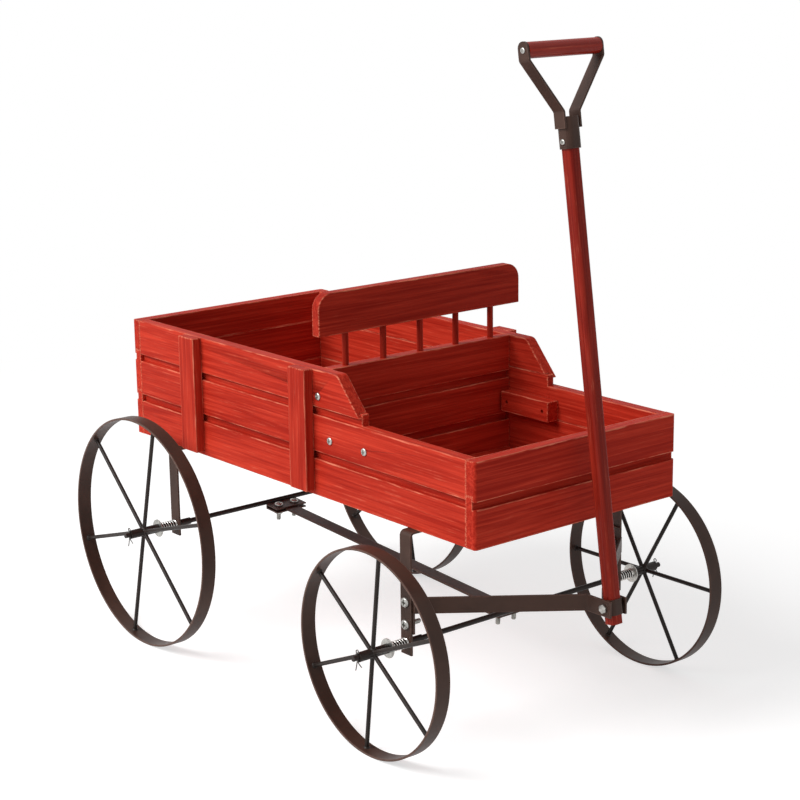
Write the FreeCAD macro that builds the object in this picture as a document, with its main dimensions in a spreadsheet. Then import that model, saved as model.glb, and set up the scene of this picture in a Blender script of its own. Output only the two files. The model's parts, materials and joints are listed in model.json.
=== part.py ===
import FreeCAD, Part
import math
import os
import re
import Sketcher
from FreeCAD import Placement, Rotation, Vector
from types import SimpleNamespace

# A low wooden cart on four spoked wheels that stands in a garden and holds pots.
# +X points to the pull handle, +Y to the cart's left and +Z up.
# The origin is on the ground in the middle of the length, so Z = 0 is where the wheels stand.
# Everything is in mm. Setbacks are measured forwards from the rear end of the wooden box.

# ---------------------------------------------------------------- driving sizes

SIZES = [
    ("box_length", 532, "wooden box, outside, without the battens"),
    ("box_width", 244, "wooden box, outside, without the battens"),
    ("floor_height", 198, "underside of the box above the ground"),
    ("board_height", 35.2, "face of one board"),
    ("board_gap", 7.2, "groove between two boards"),
    ("board_thick", 12, "thickness of the boards"),
    ("groove_depth", 4, "depth of the groove between two boards"),
    ("board_lap", 3.8, "height of a lip inside the board above it"),
    ("lap_clearance", 0.2, "play between a lip and its rebate"),
    ("board_round", 3, "rounding of the upright corners of the box"),
    ("floor_thick", 8, "thickness of the floor boards"),
    ("drain_gap", 5, "gap beside each floor board"),
    ("fitting_play", 0.1, "play of a piece that is fixed between two others"),
    ("partition_setback", 322, "front face of the partition"),
    ("slant_top_setback", 345, "upper end of the slanted cut in the side"),
    ("slant_foot_setback", 376, "lower end of the slanted cut in the side"),
    ("slant_round", 9, "rounding above the slanted cut"),
    ("batten_width", 25.5, "width of the battens outside the box"),
    ("batten_thick", 10, "thickness of the battens"),
    ("batten_rise", 4, "foot of the battens above the underside of the box"),
    ("rear_batten_setback", 113, "middle of the rear battens"),
    ("front_batten_setback", 295.5, "middle of the front battens"),
    ("cleat_length", 66, "cleat inside the front box"),
    ("cleat_height", 20, "cleat inside the front box"),
    ("cleat_thick", 14, "cleat inside the front box"),
    ("partition_screw_rise", 10.5, "side screw into the partition above the edge of its board"),
    ("cleat_screw_rise", 13.9, "side screws into the cleat above the edge of their board"),
    ("cleat_screw_rear", 10.6, "side screw into the cleat in front of the partition"),
    ("cleat_screw_front", 60.9, "side screw into the cleat in front of the partition"),
    ("rail_length", 246, "seat rail"),
    ("rail_height", 39.5, "seat rail"),
    ("rail_thick", 10, "seat rail"),
    ("rail_round", 15, "rounded upper corners of the seat rail"),
    ("spindle_height", 31, "open height below the seat rail"),
    ("spindle_radius", 3, "round spindles below the seat rail"),
    ("spindle_pitch", 44.7, "spacing of the spindles"),
    ("spindle_tenon", 6, "length of a spindle inside each piece"),
    ("rear_axle_setback", 80, "rear axle"),
    ("wheel_base", 370, "distance between the axles"),
    ("rear_wheel_radius", 117.5, "rear wheels"),
    ("front_wheel_radius", 95, "front wheels"),
    ("wheel_offset", 169.3, "middle plane of each wheel from the middle of the cart"),
    ("rim_width", 15, "width of the rim band"),
    ("rim_thick", 2, "thickness of the rim band"),
    ("spoke_radius", 2, "round spokes"),
    ("hub_length", 32, "tube in the middle of the wheel"),
    ("hub_wall", 1.8, "wall of the hub tube"),
    ("wheel_play", 0.08, "play between hub and axle, on the radius"),
    ("axle_radius", 2.5, "axle rod"),
    ("axle_overhang", 191.3, "end of the axle rod from the middle of the cart"),
    ("side_play", 0.4, "play of a wheel on its axle, each way"),
    ("washer_radius", 9, "washer beside the hub"),
    ("washer_thick", 1, "washer beside the hub"),
    ("split_pin_radius", 0.65, "split pin at the end of the axle"),
    ("bush_radius", 3.5, "bush on the axle"),
    ("bush_inner_end", 114, "inner end of the bush from the middle of the cart"),
    ("spring_radius", 4.9, "spring between leg and wheel, outside"),
    ("spring_wire", 1, "thickness of the spring's wire"),
    ("spring_turns", 7, "whole turns of the spring"),
    ("leg_width", 14, "flat steel of the legs"),
    ("bar_width", 15, "flat steel of the centre bar"),
    ("strap_thick", 2, "thickness of all flat steel"),
    ("strap_bend", 3, "inside radius of the bends"),
    ("leg_offset", 131.5, "outer face of each leg from the middle of the cart"),
    ("leg_drop", 11, "end of a leg below its axle"),
    ("pivot_reach", 42.4, "pivot of the pull handle in front of the box"),
    ("pivot_height", 131.5, "pivot of the pull handle above the ground"),
    ("tongue_width", 15, "height of the tongue straps"),
    ("tongue_reach", 50, "end of the tongue straps in front of the box"),
    ("tongue_parallel", 29, "straight front end of the tongue straps"),
    ("flange_width", 16, "plate of a tongue strap on the leg"),
    ("flange_height", 44, "plate of a tongue strap on the leg"),
    ("flange_height_middle", 126, "middle of that plate above the ground"),
    ("leg_bolt_height", 122.5, "middle between the two bolts of a leg"),
    ("leg_bolt_spacing", 20.8, "distance between the two bolts of a leg"),
    ("clamp_width", 38, "axle clamp"),
    ("clamp_reach", 22, "inner end of the axle clamp from the axle"),
    ("clamp_sheet", 1.5, "sheet of the axle clamp"),
    ("clamp_bolt_reach", 12.5, "bolts of the axle clamp from the axle"),
    ("clamp_bolt_offset", 10, "bolts of the axle clamp from the middle of the cart"),
    ("bolt_radius", 2.3, "bolts of the frame"),
    ("bolt_length", 16, "bolts of the frame"),
    ("bolt_head_radius", 4.6, "pan head of the frame bolts"),
    ("bolt_head_height", 2.6, "pan head of the frame bolts"),
    ("bolt_flats", 8, "nuts of the frame, across the flats"),
    ("nut_height", 3.6, "nuts of the frame"),
    ("pivot_bolt_radius", 2, "pivot bolt of the pull handle"),
    ("pivot_flats", 7.2, "head and nut of the pivot bolt, across the flats"),
    ("pivot_head_height", 2.8, "head and nut of the pivot bolt"),
    ("sleeve_bolt_radius", 1.5, "bolt of the sleeve"),
    ("sleeve_head_radius", 2.5, "pan head of the bolt of the sleeve"),
    ("sleeve_head_height", 1.2, "pan head of the bolt of the sleeve"),
    ("sleeve_flats", 5.5, "nut of the sleeve, across the flats"),
    ("sleeve_nut_height", 1.8, "nut of the sleeve"),
    ("thread_play", 0.05, "play between a bolt and its nut, on the radius"),
    ("bolt_play", 0.15, "play between a bolt and its hole, on the radius"),
    ("screw_radius", 1.8, "wood screws"),
    ("screw_length", 20, "wood screws"),
    ("screw_head_radius", 3.6, "wood screws"),
    ("screw_head_height", 1.6, "wood screws"),
    ("pole_lean", 8.16, "lean of the pull handle at rest, in degrees"),
    ("pole_width", 13, "square wooden pole"),
    ("pole_round", 4, "rounded edges of the pole"),
    ("pole_foot", 15.5, "end of the pole below its pivot"),
    ("pole_reach", 424, "top of the pole above its pivot"),
    ("collar_wall", 1, "sheet of the collar"),
    ("sleeve_wall", 1.5, "sheet of the sleeve"),
    ("sleeve_play", 0.05, "play round the pole"),
    ("collar_height", 14, "collar round the pole at the pivot"),
    ("fork_play", 0.8, "play between the collar and a tongue strap"),
    ("sleeve_foot", 398.5, "lower end of the sleeve above the pivot"),
    ("sleeve_top", 425.8, "upper end of the sleeve above the pivot"),
    ("sleeve_bolt_reach", 404.6, "bolt of the sleeve above the pivot"),
    ("fork_width", 12.5, "flat steel of the handle straps"),
    ("fork_foot", 415.8, "lower end of the handle straps above the pivot"),
    ("fork_bend", 430.3, "lower bend of the handle straps above the pivot"),
    ("fork_shoulder", 474.6, "upper bend of the handle straps above the pivot"),
    ("fork_top", 490.5, "top of the handle straps above the pivot"),
    ("grip_reach", 483, "grip above the pivot"),
    ("grip_length", 84, "round grip"),
    ("grip_radius", 7, "round grip"),
    ("grip_screw_radius", 1.8, "screws in the ends of the grip"),
    ("grip_screw_length", 16, "screws in the ends of the grip"),
    ("grip_head_radius", 2.6, "heads of those screws"),
    ("grip_head_height", 1, "heads of those screws"),
]

# Sizes that follow from the driving ones, with X already measured from the cart's origin.
DERIVED = [
    ("origin_setback", "(rear_axle_setback - rear_wheel_radius + box_length + tongue_reach) / 2"),
    ("box_rear", "-origin_setback"),
    ("box_front", "box_length - origin_setback"),
    ("box_middle", "box_length / 2 - origin_setback"),
    ("inner_length", "box_length - 2 * board_thick"),
    ("inner_width", "box_width - 2 * board_thick"),
    ("board_pitch", "board_height + board_gap"),
    ("box_top", "floor_height + 2 * board_pitch + board_height"),
    ("partition_front", "partition_setback - origin_setback"),
    ("partition_middle", "partition_front - board_thick / 2"),
    ("slant_top", "slant_top_setback - box_length / 2"),
    ("slant_foot", "slant_foot_setback - box_length / 2"),
    ("floor_board_width", "(inner_width - 4 * drain_gap) / 3"),
    ("rail_foot", "box_top + spindle_height"),
    ("spindle_length", "spindle_height + 2 * spindle_tenon"),
    ("cleat_middle", "partition_front + (cleat_screw_rear + cleat_screw_front) / 2"),
    ("rear_screw_x", "partition_front + cleat_screw_rear"),
    ("front_screw_x", "partition_front + cleat_screw_front"),
    ("cleat_screw_z", "floor_height + board_pitch + cleat_screw_rise"),
    ("partition_screw_z", "floor_height + 2 * board_pitch + partition_screw_rise"),
    ("rear_axle_x", "rear_axle_setback - origin_setback"),
    ("front_axle_x", "rear_axle_x + wheel_base"),
    ("axle_drop", "rear_wheel_radius - front_wheel_radius"),
    ("axle_spacing", "sqrt(wheel_base * wheel_base + axle_drop * axle_drop)"),
    ("hub_bore", "axle_radius + wheel_play"),
    ("hub_radius", "hub_bore + hub_wall"),
    ("washer_face", "wheel_offset - hub_length / 2 - side_play"),
    ("spring_end", "washer_face - washer_thick"),
    ("split_pin_offset", "wheel_offset + hub_length / 2 + side_play + split_pin_radius"),
    ("bolt_hole", "bolt_radius + bolt_play"),
    ("screw_hole", "screw_radius + fitting_play"),
    ("collar_width", "pole_width + 2 * (collar_wall + sleeve_play)"),
    ("sleeve_width", "pole_width + 2 * (sleeve_wall + sleeve_play)"),
    ("tongue_inside", "collar_width / 2 + fork_play"),
    ("pivot_x", "box_front + pivot_reach"),
    ("tongue_end", "box_front + tongue_reach"),
    ("tongue_corner", "tongue_end - tongue_parallel"),
    ("flange_front", "front_axle_x + flange_width / 2 + 1"),
    ("tongue_run", "tongue_corner - flange_front"),
    ("tongue_spread", "leg_offset - 1.5 * strap_thick - tongue_inside - strap_thick / 2"),
    ("tongue_slope", "sqrt(tongue_run * tongue_run + tongue_spread * tongue_spread)"),
    ("tongue_mitre", "strap_thick / 2 * (tongue_slope - tongue_run) / tongue_spread"),
    ("grip_half", "grip_length / 2"),
    ("fork_rise", "fork_shoulder - fork_bend"),
    ("fork_spread", "grip_half - sleeve_width / 2"),
    ("fork_slope", "sqrt(fork_rise * fork_rise + fork_spread * fork_spread)"),
    ("fork_mitre", "strap_thick / 2 * (fork_slope - fork_rise) / fork_spread"),
    ("bar_level", "-axle_radius - fitting_play"),
    ("clamp_floor", "bar_level - strap_thick - fitting_play"),
    ("clamp_roof", "bar_level + fitting_play + clamp_sheet"),
    ("axle_skin", "axle_radius + fitting_play"),
    ("clamp_back", "sqrt(axle_skin * axle_skin - clamp_roof * clamp_roof)"),
    ("bar_end", "clamp_back + clamp_sheet + fitting_play"),
]

SPOKES = 6
SPINDLES = 5
SPOKE_TURN = {"rear_right": 16.8, "rear_left": 40.0, "front_right": 23.3, "front_left": 0.5}

doc = FreeCAD.newDocument("FlowerCart")
sheet = doc.addObject("Spreadsheet::Sheet", "Sizes")
for row, (name, value, note) in enumerate(SIZES, 1):
    sheet.set(f"A{row}", str(value))
    sheet.setAlias(f"A{row}", name)
    sheet.set(f"B{row}", note)
doc.recompute()
layout = doc.addObject("App::VarSet", "Layout")
HOME = {name: "Sizes" for name, value, note in SIZES}


def bind(text):
    """Names in a size formula get the object that holds them."""
    return re.sub(r"[a-z]+_\w+", lambda found: f"{HOME[found[0]]}.{found[0]}", str(text))


for name, text in DERIVED:
    layout.addProperty("App::PropertyFloat", name)
    layout.setExpression(name, bind(text))
    HOME[name] = "Layout"
doc.recompute()
size = SimpleNamespace(**{name: float(sheet.get(name)) for name, value, note in SIZES})
vars(size).update({name: getattr(layout, name) for name, text in DERIVED})

# ---------------------------------------------------------------- ways of making a piece

PIECES = []
TURN_LEFT = Rotation(Vector(0, 0, 1), 180)
TURN_FRONT = Rotation(Vector(0, 0, 1), 90)
TURN_REAR = Rotation(Vector(0, 0, 1), -90)


def new_body(label, kept=True):
    piece = doc.addObject("PartDesign::Body", label)
    piece.Label = label
    if kept:
        PIECES.append(piece)
    return piece


def place(piece, x=0, y=0, z=0, turn=Rotation()):
    """The turn is set first, then the position follows its formulas."""
    piece.Placement = Placement(Vector(), turn)
    for axis, text in zip("xyz", (x, y, z)):
        piece.setExpression(f"Placement.Base.{axis}", bind(text))
    return piece


def sketch_on(piece, role, offset=0):
    plane = next(item for item in piece.Origin.OriginFeatures if item.Role == role)
    sketch = piece.newObject("Sketcher::SketchObject", "Outline")
    sketch.AttachmentSupport = [(plane, "")]
    sketch.MapMode = "FlatFace"
    sketch.setExpression("AttachmentOffset.Base.z", bind(offset))
    return sketch


def fix(sketch, kind, item, text, *point):
    """One sketch size that follows its formula."""
    row = sketch.addConstraint(Sketcher.Constraint(kind, item, *point, 1.0))
    sketch.setExpression(f"Constraints[{row}]", bind(text))


def outline(sketch, corners):
    """A closed outline of straight lines through the corners."""
    first = sketch.GeometryCount
    count = len(corners)
    for step in range(count):
        here = Vector(math.cos(math.tau * step / count), math.sin(math.tau * step / count), 0)
        there = Vector(math.cos(math.tau * (step + 1) / count), math.sin(math.tau * (step + 1) / count), 0)
        sketch.addGeometry(Part.LineSegment(here, there), False)
    for step in range(count):
        last = first + (step + 1) % count
        sketch.addConstraint(Sketcher.Constraint("Coincident", first + step, 2, last, 1))
    for step, (across, up) in enumerate(corners):
        fix(sketch, "DistanceX", first + step, across, 1)
        fix(sketch, "DistanceY", first + step, up, 1)


def rectangle(sketch, left, low, right, high):
    outline(sketch, [(left, low), (right, low), (right, high), (left, high)])


def circle(sketch, radius, across=0, up=0):
    item = sketch.addGeometry(Part.Circle(Vector(1, 1, 0), Vector(0, 0, 1), 1), False)
    fix(sketch, "DistanceX", item, across, 3)
    fix(sketch, "DistanceY", item, up, 3)
    fix(sketch, "Radius", item, radius)


def pad(piece, sketch, length, both_ways=False, backwards=False):
    feature = piece.newObject("PartDesign::Pad", "Pad")
    feature.Profile = sketch
    feature.setExpression("Length", bind(length))
    feature.Reversed = backwards
    if both_ways:
        feature.SideType = "Symmetric"
    doc.recompute()
    return feature


def pocket(piece, sketch, depth=None, backwards=False):
    """Without a depth the cut goes right through, both ways."""
    before = piece.Tip.Shape.Volume
    feature = piece.newObject("PartDesign::Pocket", "Pocket")
    feature.Profile = sketch
    feature.Reversed = backwards
    if depth is None:
        feature.Type = "ThroughAll"
        feature.SideType = "Symmetric"
    else:
        feature.setExpression("Length", bind(depth))
    doc.recompute()
    if feature.Shape.Volume > before - 0.1:
        raise RuntimeError(f"{piece.Label}: a cut removes nothing")
    return feature


def revolve(piece, sketch):
    """Turned about the sketch's upright axis."""
    feature = piece.newObject("PartDesign::Revolution", "Turning")
    feature.Profile = sketch
    feature.ReferenceAxis = (sketch, ["V_Axis"])
    feature.Angle = 360
    doc.recompute()
    return feature


def round_edges(piece, radius, wanted):
    """Rounds the edges of the piece that the test picks."""
    base = piece.Tip
    names = [f"Edge{row}" for row, edge in enumerate(base.Shape.Edges, 1) if wanted(edge)]
    feature = piece.newObject("PartDesign::Fillet", "Rounding")
    feature.Base = (base, names)
    feature.setExpression("Radius", bind(radius))
    doc.recompute()
    return feature


def runs(edge, axis):
    """True for a straight edge along the axis."""
    if edge.Curve.TypeId != "Part::GeomLine":
        return False
    return edge.tangentAt(edge.FirstParameter).cross(axis).Length < 1e-6


def lies(edge, **position):
    """True for an edge whose middle has the given coordinates."""
    middle = edge.CenterOfMass
    return all(abs(getattr(middle, axis) - value) < 0.02 for axis, value in position.items())


def block(label, length, width, height, kept=True):
    """A plain board, in the middle of X and Y and upwards from Z = 0."""
    piece = new_body(label, kept)
    sketch = sketch_on(piece, "XY_Plane")
    rectangle(sketch, f"-({length}) / 2", f"-({width}) / 2", f"({length}) / 2", f"({width}) / 2")
    pad(piece, sketch, height)
    return piece


def turned(label, profile, kept=True):
    """A turned piece about Y from an outline of radius and position along Y."""
    piece = new_body(label, kept)
    sketch = sketch_on(piece, "XY_Plane")
    outline(sketch, profile)
    revolve(piece, sketch)
    return piece


def hexagon(sketch, flats):
    outline(sketch, [(f"{flats} / sqrt(3) * cos({60 * k})", f"{flats} / sqrt(3) * sin({60 * k})")
                     for k in range(6)])


def group(label, pattern, places):
    """One node with a copy of the pattern at each place."""
    copies = []
    for number, spot in enumerate(places, 1):
        copy = doc.addObject("App::Link", f"{label}_{number}")
        copy.LinkedObject = pattern
        copy.Placement = spot
        copies.append(copy)
    whole = doc.addObject("Part::Compound", label)
    whole.Label = label
    whole.Links = copies
    PIECES.append(whole)
    return whole


# ---------------------------------------------------------------- wooden box


def board(label, length, lip, rebate):
    """A ship-lapped board along X with its outer face at Y = 0, facing -Y."""
    piece = new_body(label)
    sketch = sketch_on(piece, "YZ_Plane")
    corners = [(0, 0)]
    if rebate:
        corners += [("groove_depth - lap_clearance", 0)]
        corners += [("groove_depth - lap_clearance", "board_lap + lap_clearance")]
        corners += [("board_thick", "board_lap + lap_clearance")]
    else:
        corners += [("board_thick", 0)]
    if lip:
        corners += [("board_thick", "board_pitch + board_lap")]
        corners += [("groove_depth", "board_pitch + board_lap")]
        corners += [("groove_depth", "board_height")]
    else:
        corners += [("board_thick", "board_height")]
    corners += [(0, "board_height")]
    outline(sketch, corners)
    pad(piece, sketch, length, both_ways=True)
    return piece


def drill(piece, role, radius, spots, depth=None, offset=0, backwards=False):
    sketch = sketch_on(piece, role, offset)
    for across, up in spots:
        circle(sketch, radius, across, up)
    return pocket(piece, sketch, depth, backwards)


LEVELS = (("bottom", 0), ("middle", 1), ("top", 2))

# Sides. The lowest board takes the screws of the leg frames from below, the middle one
# the screws of the cleat, and the top one ends in a slanted cut.
for side, facing, turn in (("right", 1, Rotation()), ("left", -1, TURN_LEFT)):
    for level, row in LEVELS:
        side_board = board(f"{side}_plank_{level}", "inner_length", row < 2, row > 0)
        ahead = f"{facing} * inner_length"
        if level == "bottom":
            spots = [(f"{facing} * ({end}_axle_x - box_middle)", "board_thick / 2")
                     for end in ("rear", "front")]
            drill(side_board, "XY_Plane", "screw_hole", spots, "screw_length", backwards=True)
        if level == "middle":
            sketch = sketch_on(side_board, "XZ_Plane")
            rectangle(sketch, f"{facing} * slant_foot", "board_height", ahead, "board_height * 2")
            pocket(side_board, sketch)
            spots = [(f"{facing} * ({end}_screw_x - box_middle)", "cleat_screw_rise")
                     for end in ("rear", "front")]
            drill(side_board, "XZ_Plane", "screw_hole", spots)
        if level == "top":
            sketch = sketch_on(side_board, "XZ_Plane")
            outline(sketch, [(f"{facing} * slant_foot", 0),
                             (f"{facing} * slant_top", "board_height"),
                             (f"{facing} * slant_top", "board_height * 2"),
                             (ahead, "board_height * 2"),
                             (ahead, "-board_height"),
                             (f"{facing} * slant_foot", "-board_height")])
            pocket(side_board, sketch)
            round_edges(side_board, "slant_round",
                        lambda edge: runs(edge, Vector(0, 1, 0))
                        and lies(edge, x=facing * size.slant_top, z=size.board_height))
            drill(side_board, "XZ_Plane", "screw_hole",
                  [(f"{facing} * (partition_middle - box_middle)", "partition_screw_rise")])
        place(side_board, "box_middle", f"-{facing} * box_width / 2",
              f"floor_height + {row} * board_pitch", turn)

# Ends. The front has two boards and the rear three, both across the ends of the sides.
for end, count, turn, across in (("front", 2, TURN_FRONT, "box_front"), ("rear", 3, TURN_REAR, "box_rear")):
    names = ("bottom", "top") if count == 2 else ("bottom", "middle", "top")
    for row, level in enumerate(names):
        end_board = board(f"{end}_plank_{level}", "box_width", row < count - 1, row > 0)
        round_edges(end_board, "board_round",
                    lambda edge: runs(edge, Vector(0, 0, 1)) and lies(edge, y=0))
        place(end_board, across, 0, f"floor_height + {row} * board_pitch", turn)

# Partition between the rear box and the front box.
for level, row in LEVELS:
    middle_board = board(f"partition_{level}", "inner_width - 2 * fitting_play", row < 2, row > 0)
    if level == "top":
        spots = [(f"{number - (SPINDLES - 1) / 2} * spindle_pitch", "board_thick / 2")
                 for number in range(SPINDLES)]
        drill(middle_board, "XY_Plane", "spindle_radius + fitting_play", spots,
              "spindle_tenon + fitting_play", "board_height")
        spots = [("board_thick / 2", "partition_screw_rise")]
        for end, backwards in (("-inner_width / 2", True), ("inner_width / 2", False)):
            drill(middle_board, "YZ_Plane", "screw_hole", spots, "screw_length", end, backwards)
    place(middle_board, "partition_front", 0, f"floor_height + {row} * board_pitch", TURN_FRONT)

# Floor boards of both boxes with drain gaps between them.
for end, low, high in (("rear", size.box_rear + size.board_thick, size.partition_front - size.board_thick),
                       ("front", size.partition_front, size.box_front - size.board_thick)):
    reach = {"rear": "partition_setback - 2 * board_thick",
             "front": "box_length - partition_setback - board_thick"}[end]
    floor_board = block(f"{end}_floor_pattern", f"{reach} - 2 * fitting_play", "floor_board_width",
                        "floor_thick", kept=False)
    group(f"{end}_floor_boards", floor_board,
          [Placement(Vector((low + high) / 2, step * (size.floor_board_width + size.drain_gap),
                            size.floor_height), Rotation()) for step in (-1, 0, 1)])

# Upright battens outside the rear box and cleats inside the front box.
for side, sign in (("right", -1), ("left", 1)):
    for end in ("rear", "front"):
        batten = block(f"{side}_batten_{end}", "batten_width", "batten_thick",
                       "box_top - floor_height - batten_rise")
        place(batten, f"{end}_batten_setback - origin_setback",
              f"{sign} * (box_width + batten_thick) / 2", "floor_height + batten_rise")
    cleat = block(f"{side}_cleat", "cleat_length", "cleat_thick", "cleat_height")
    drill(cleat, "XZ_Plane", "screw_hole",
          [(f"{end}_screw_x - cleat_middle", "cleat_height / 2") for end in ("rear", "front")])
    place(cleat, "cleat_middle", f"{sign} * (inner_width - cleat_thick) / 2",
          "cleat_screw_z - cleat_height / 2")

# Seat rail on its spindles.
rail = new_body("seat_rail")
sketch = sketch_on(rail, "YZ_Plane")
rectangle(sketch, "-rail_length / 2", 0, "rail_length / 2", "rail_height")
pad(rail, sketch, "rail_thick", both_ways=True)
round_edges(rail, "rail_round", lambda edge: runs(edge, Vector(1, 0, 0)) and lies(edge, z=size.rail_height))
drill(rail, "XY_Plane", "spindle_radius + fitting_play",
      [(0, f"{number - (SPINDLES - 1) / 2} * spindle_pitch") for number in range(SPINDLES)],
      "spindle_tenon + fitting_play", backwards=True)
place(rail, "partition_middle", 0, "rail_foot")

spindle = new_body("spindle_pattern", kept=False)
sketch = sketch_on(spindle, "XY_Plane")
circle(sketch, "spindle_radius")
pad(spindle, sketch, "spindle_length")
group("spindles", spindle,
      [Placement(Vector(size.partition_middle, (number - (SPINDLES - 1) / 2) * size.spindle_pitch,
                        size.box_top - size.spindle_tenon), Rotation())
       for number in range(SPINDLES)])

# ---------------------------------------------------------------- running gear

AXLES = {"rear": (size.rear_axle_x, size.rear_wheel_radius),
         "front": (size.front_axle_x, size.front_wheel_radius)}
SIDES = {"right": -1, "left": 1}
FACING = {"right": Rotation(), "left": TURN_LEFT}


def strap_bends(piece, axis, inside, outside):
    """Rounds the bends of a strap, the inner edges less than the outer ones."""
    round_edges(piece, "strap_bend", lambda edge: runs(edge, axis) and inside(edge.CenterOfMass))
    round_edges(piece, "strap_bend + strap_thick",
                lambda edge: runs(edge, axis) and outside(edge.CenterOfMass))


for end, (axle_x, axle_z) in AXLES.items():
    wheel = f"{end}_wheel_radius"

    # A flat strap bent down at both sides of the box to carry the axle.
    frame = new_body(f"{end}_leg_frame")
    sketch = sketch_on(frame, "YZ_Plane")
    foot = f"{wheel} - leg_drop"
    outline(sketch, [("-leg_offset", foot), ("-leg_offset", "floor_height"),
                     ("leg_offset", "floor_height"), ("leg_offset", foot),
                     ("leg_offset - strap_thick", foot),
                     ("leg_offset - strap_thick", "floor_height - strap_thick"),
                     ("strap_thick - leg_offset", "floor_height - strap_thick"),
                     ("strap_thick - leg_offset", foot)])
    pad(frame, sketch, "leg_width", both_ways=True)
    roof = size.floor_height
    strap_bends(frame, Vector(1, 0, 0),
                lambda middle: abs(middle.z - roof + size.strap_thick) < 0.01,
                lambda middle: abs(middle.z - roof) < 0.01)
    drill(frame, "XZ_Plane", "bush_radius + fitting_play", [(0, wheel)])
    if end == "front":
        drill(frame, "XZ_Plane", "bolt_hole",
              [(0, f"leg_bolt_height + {half} * leg_bolt_spacing / 2") for half in (-1, 1)])
    drill(frame, "XY_Plane", "screw_hole",
          [(0, f"{half} * (box_width - board_thick) / 2") for half in (-1, 1)],
          "strap_thick * 2", "floor_height + strap_thick / 2")
    place(frame, f"{end}_axle_x")

    axle = turned(f"{end}_axle", [(0, "-axle_overhang"), ("axle_radius", "-axle_overhang"),
                                  ("axle_radius", "axle_overhang"), (0, "axle_overhang")])
    drill(axle, "XY_Plane", "split_pin_radius + thread_play",
          [(0, f"{half} * split_pin_offset") for half in (-1, 1)])
    place(axle, f"{end}_axle_x", 0, wheel)

    for side, sign in SIDES.items():
        rim = turned(f"{end}_{side}_rim",
                     [(f"{wheel} - rim_thick", "-rim_width / 2"), (wheel, "-rim_width / 2"),
                      (wheel, "rim_width / 2"), (f"{wheel} - rim_thick", "rim_width / 2")])
        place(rim, f"{end}_axle_x", f"{sign} * wheel_offset", wheel)

        # The hub tube and its welded spokes, which reach the inside of the rim.
        spider = turned(f"{end}_{side}_spokes", [(0, "-hub_length / 2"), ("hub_radius", "-hub_length / 2"),
                                                 ("hub_radius", "hub_length / 2"), (0, "hub_length / 2")])
        sketch = sketch_on(spider, "YZ_Plane")
        circle(sketch, "spoke_radius")
        spoke = pad(spider, sketch,
                    f"sqrt(({wheel} - rim_thick) * ({wheel} - rim_thick) - spoke_radius * spoke_radius)")
        spread = spider.newObject("PartDesign::PolarPattern", "Spokes")
        spread.Originals = [spoke]
        spread.Axis = (next(item for item in spider.Origin.OriginFeatures if item.Role == "Y_Axis"), [""])
        spread.Angle = 360
        spider.Tip = spread
        spread.Occurrences = SPOKES
        doc.recompute()
        drill(spider, "XZ_Plane", "hub_bore", [(0, 0)])
        place(spider, f"{end}_axle_x", f"{sign} * wheel_offset", wheel,
              Rotation(Vector(0, 1, 0), -SPOKE_TURN[f"{end}_{side}"]))

CORNERS = [(axle_x, axle_z, side) for axle_x, axle_z in AXLES.values() for side in SIDES]


def beside(offset, axle_x, axle_z, side, turn=Rotation()):
    """A place on an axle, at an offset from the middle of the cart, facing that side."""
    return Placement(Vector(axle_x, SIDES[side] * offset, axle_z), turn * FACING[side])


bush = turned("bush_pattern", [("axle_radius + fitting_play", "-spring_end + fitting_play"),
                               ("bush_radius", "-spring_end + fitting_play"),
                               ("bush_radius", "-bush_inner_end"),
                               ("axle_radius + fitting_play", "-bush_inner_end")], kept=False)
group("axle_bushes", bush, [beside(0, *corner) for corner in CORNERS])

washer = turned("washer_pattern", [("axle_radius + fitting_play", "-washer_face"),
                                   ("washer_radius", "-washer_face"),
                                   ("washer_radius", "-spring_end"),
                                   ("axle_radius + fitting_play", "-spring_end")], kept=False)
group("hub_washers", washer, [beside(0, *corner) for corner in CORNERS])


def moved(shape, spot):
    copy = shape.copy()
    copy.Placement = spot * copy.Placement
    return copy


def unit_tangent(angle, radius, rise):
    """Direction of a helix about Y that climbs by the rise in a whole turn."""
    return Vector(-radius * math.sin(angle), rise / math.tau, radius * math.cos(angle)).normalize()


def biarc(start, leaving, end, arriving):
    """Two arcs that touch, from one point and direction to another."""
    gap = end - start
    both = leaving + arriving
    share = gap.dot(both)
    spare = 2 * (1 - leaving.dot(arriving))
    length = (-share + math.sqrt(share * share + spare * gap.dot(gap))) / spare
    middle = (start + leaving * length + end - arriving * length) * 0.5
    return [arc_from(start, leaving, middle), arc_from(middle, leaving, end, arriving)]


def arc_from(start, leaving, end, arriving=None):
    """The arc between two points with a given direction at one of them."""
    chord = end - start
    if arriving is None:
        across = (chord - leaving * chord.dot(leaving)).normalize()
        radius = chord.dot(chord) / (2 * chord.dot(across))
        centre = start + across * radius
    else:
        across = (chord - arriving * chord.dot(arriving)).normalize()
        radius = -chord.dot(chord) / (2 * chord.dot(across))
        centre = end + across * radius
    half = ((start + end) * 0.5 - centre).normalize()
    return Part.Arc(start, centre + half * abs(radius), end).toShape()


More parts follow.
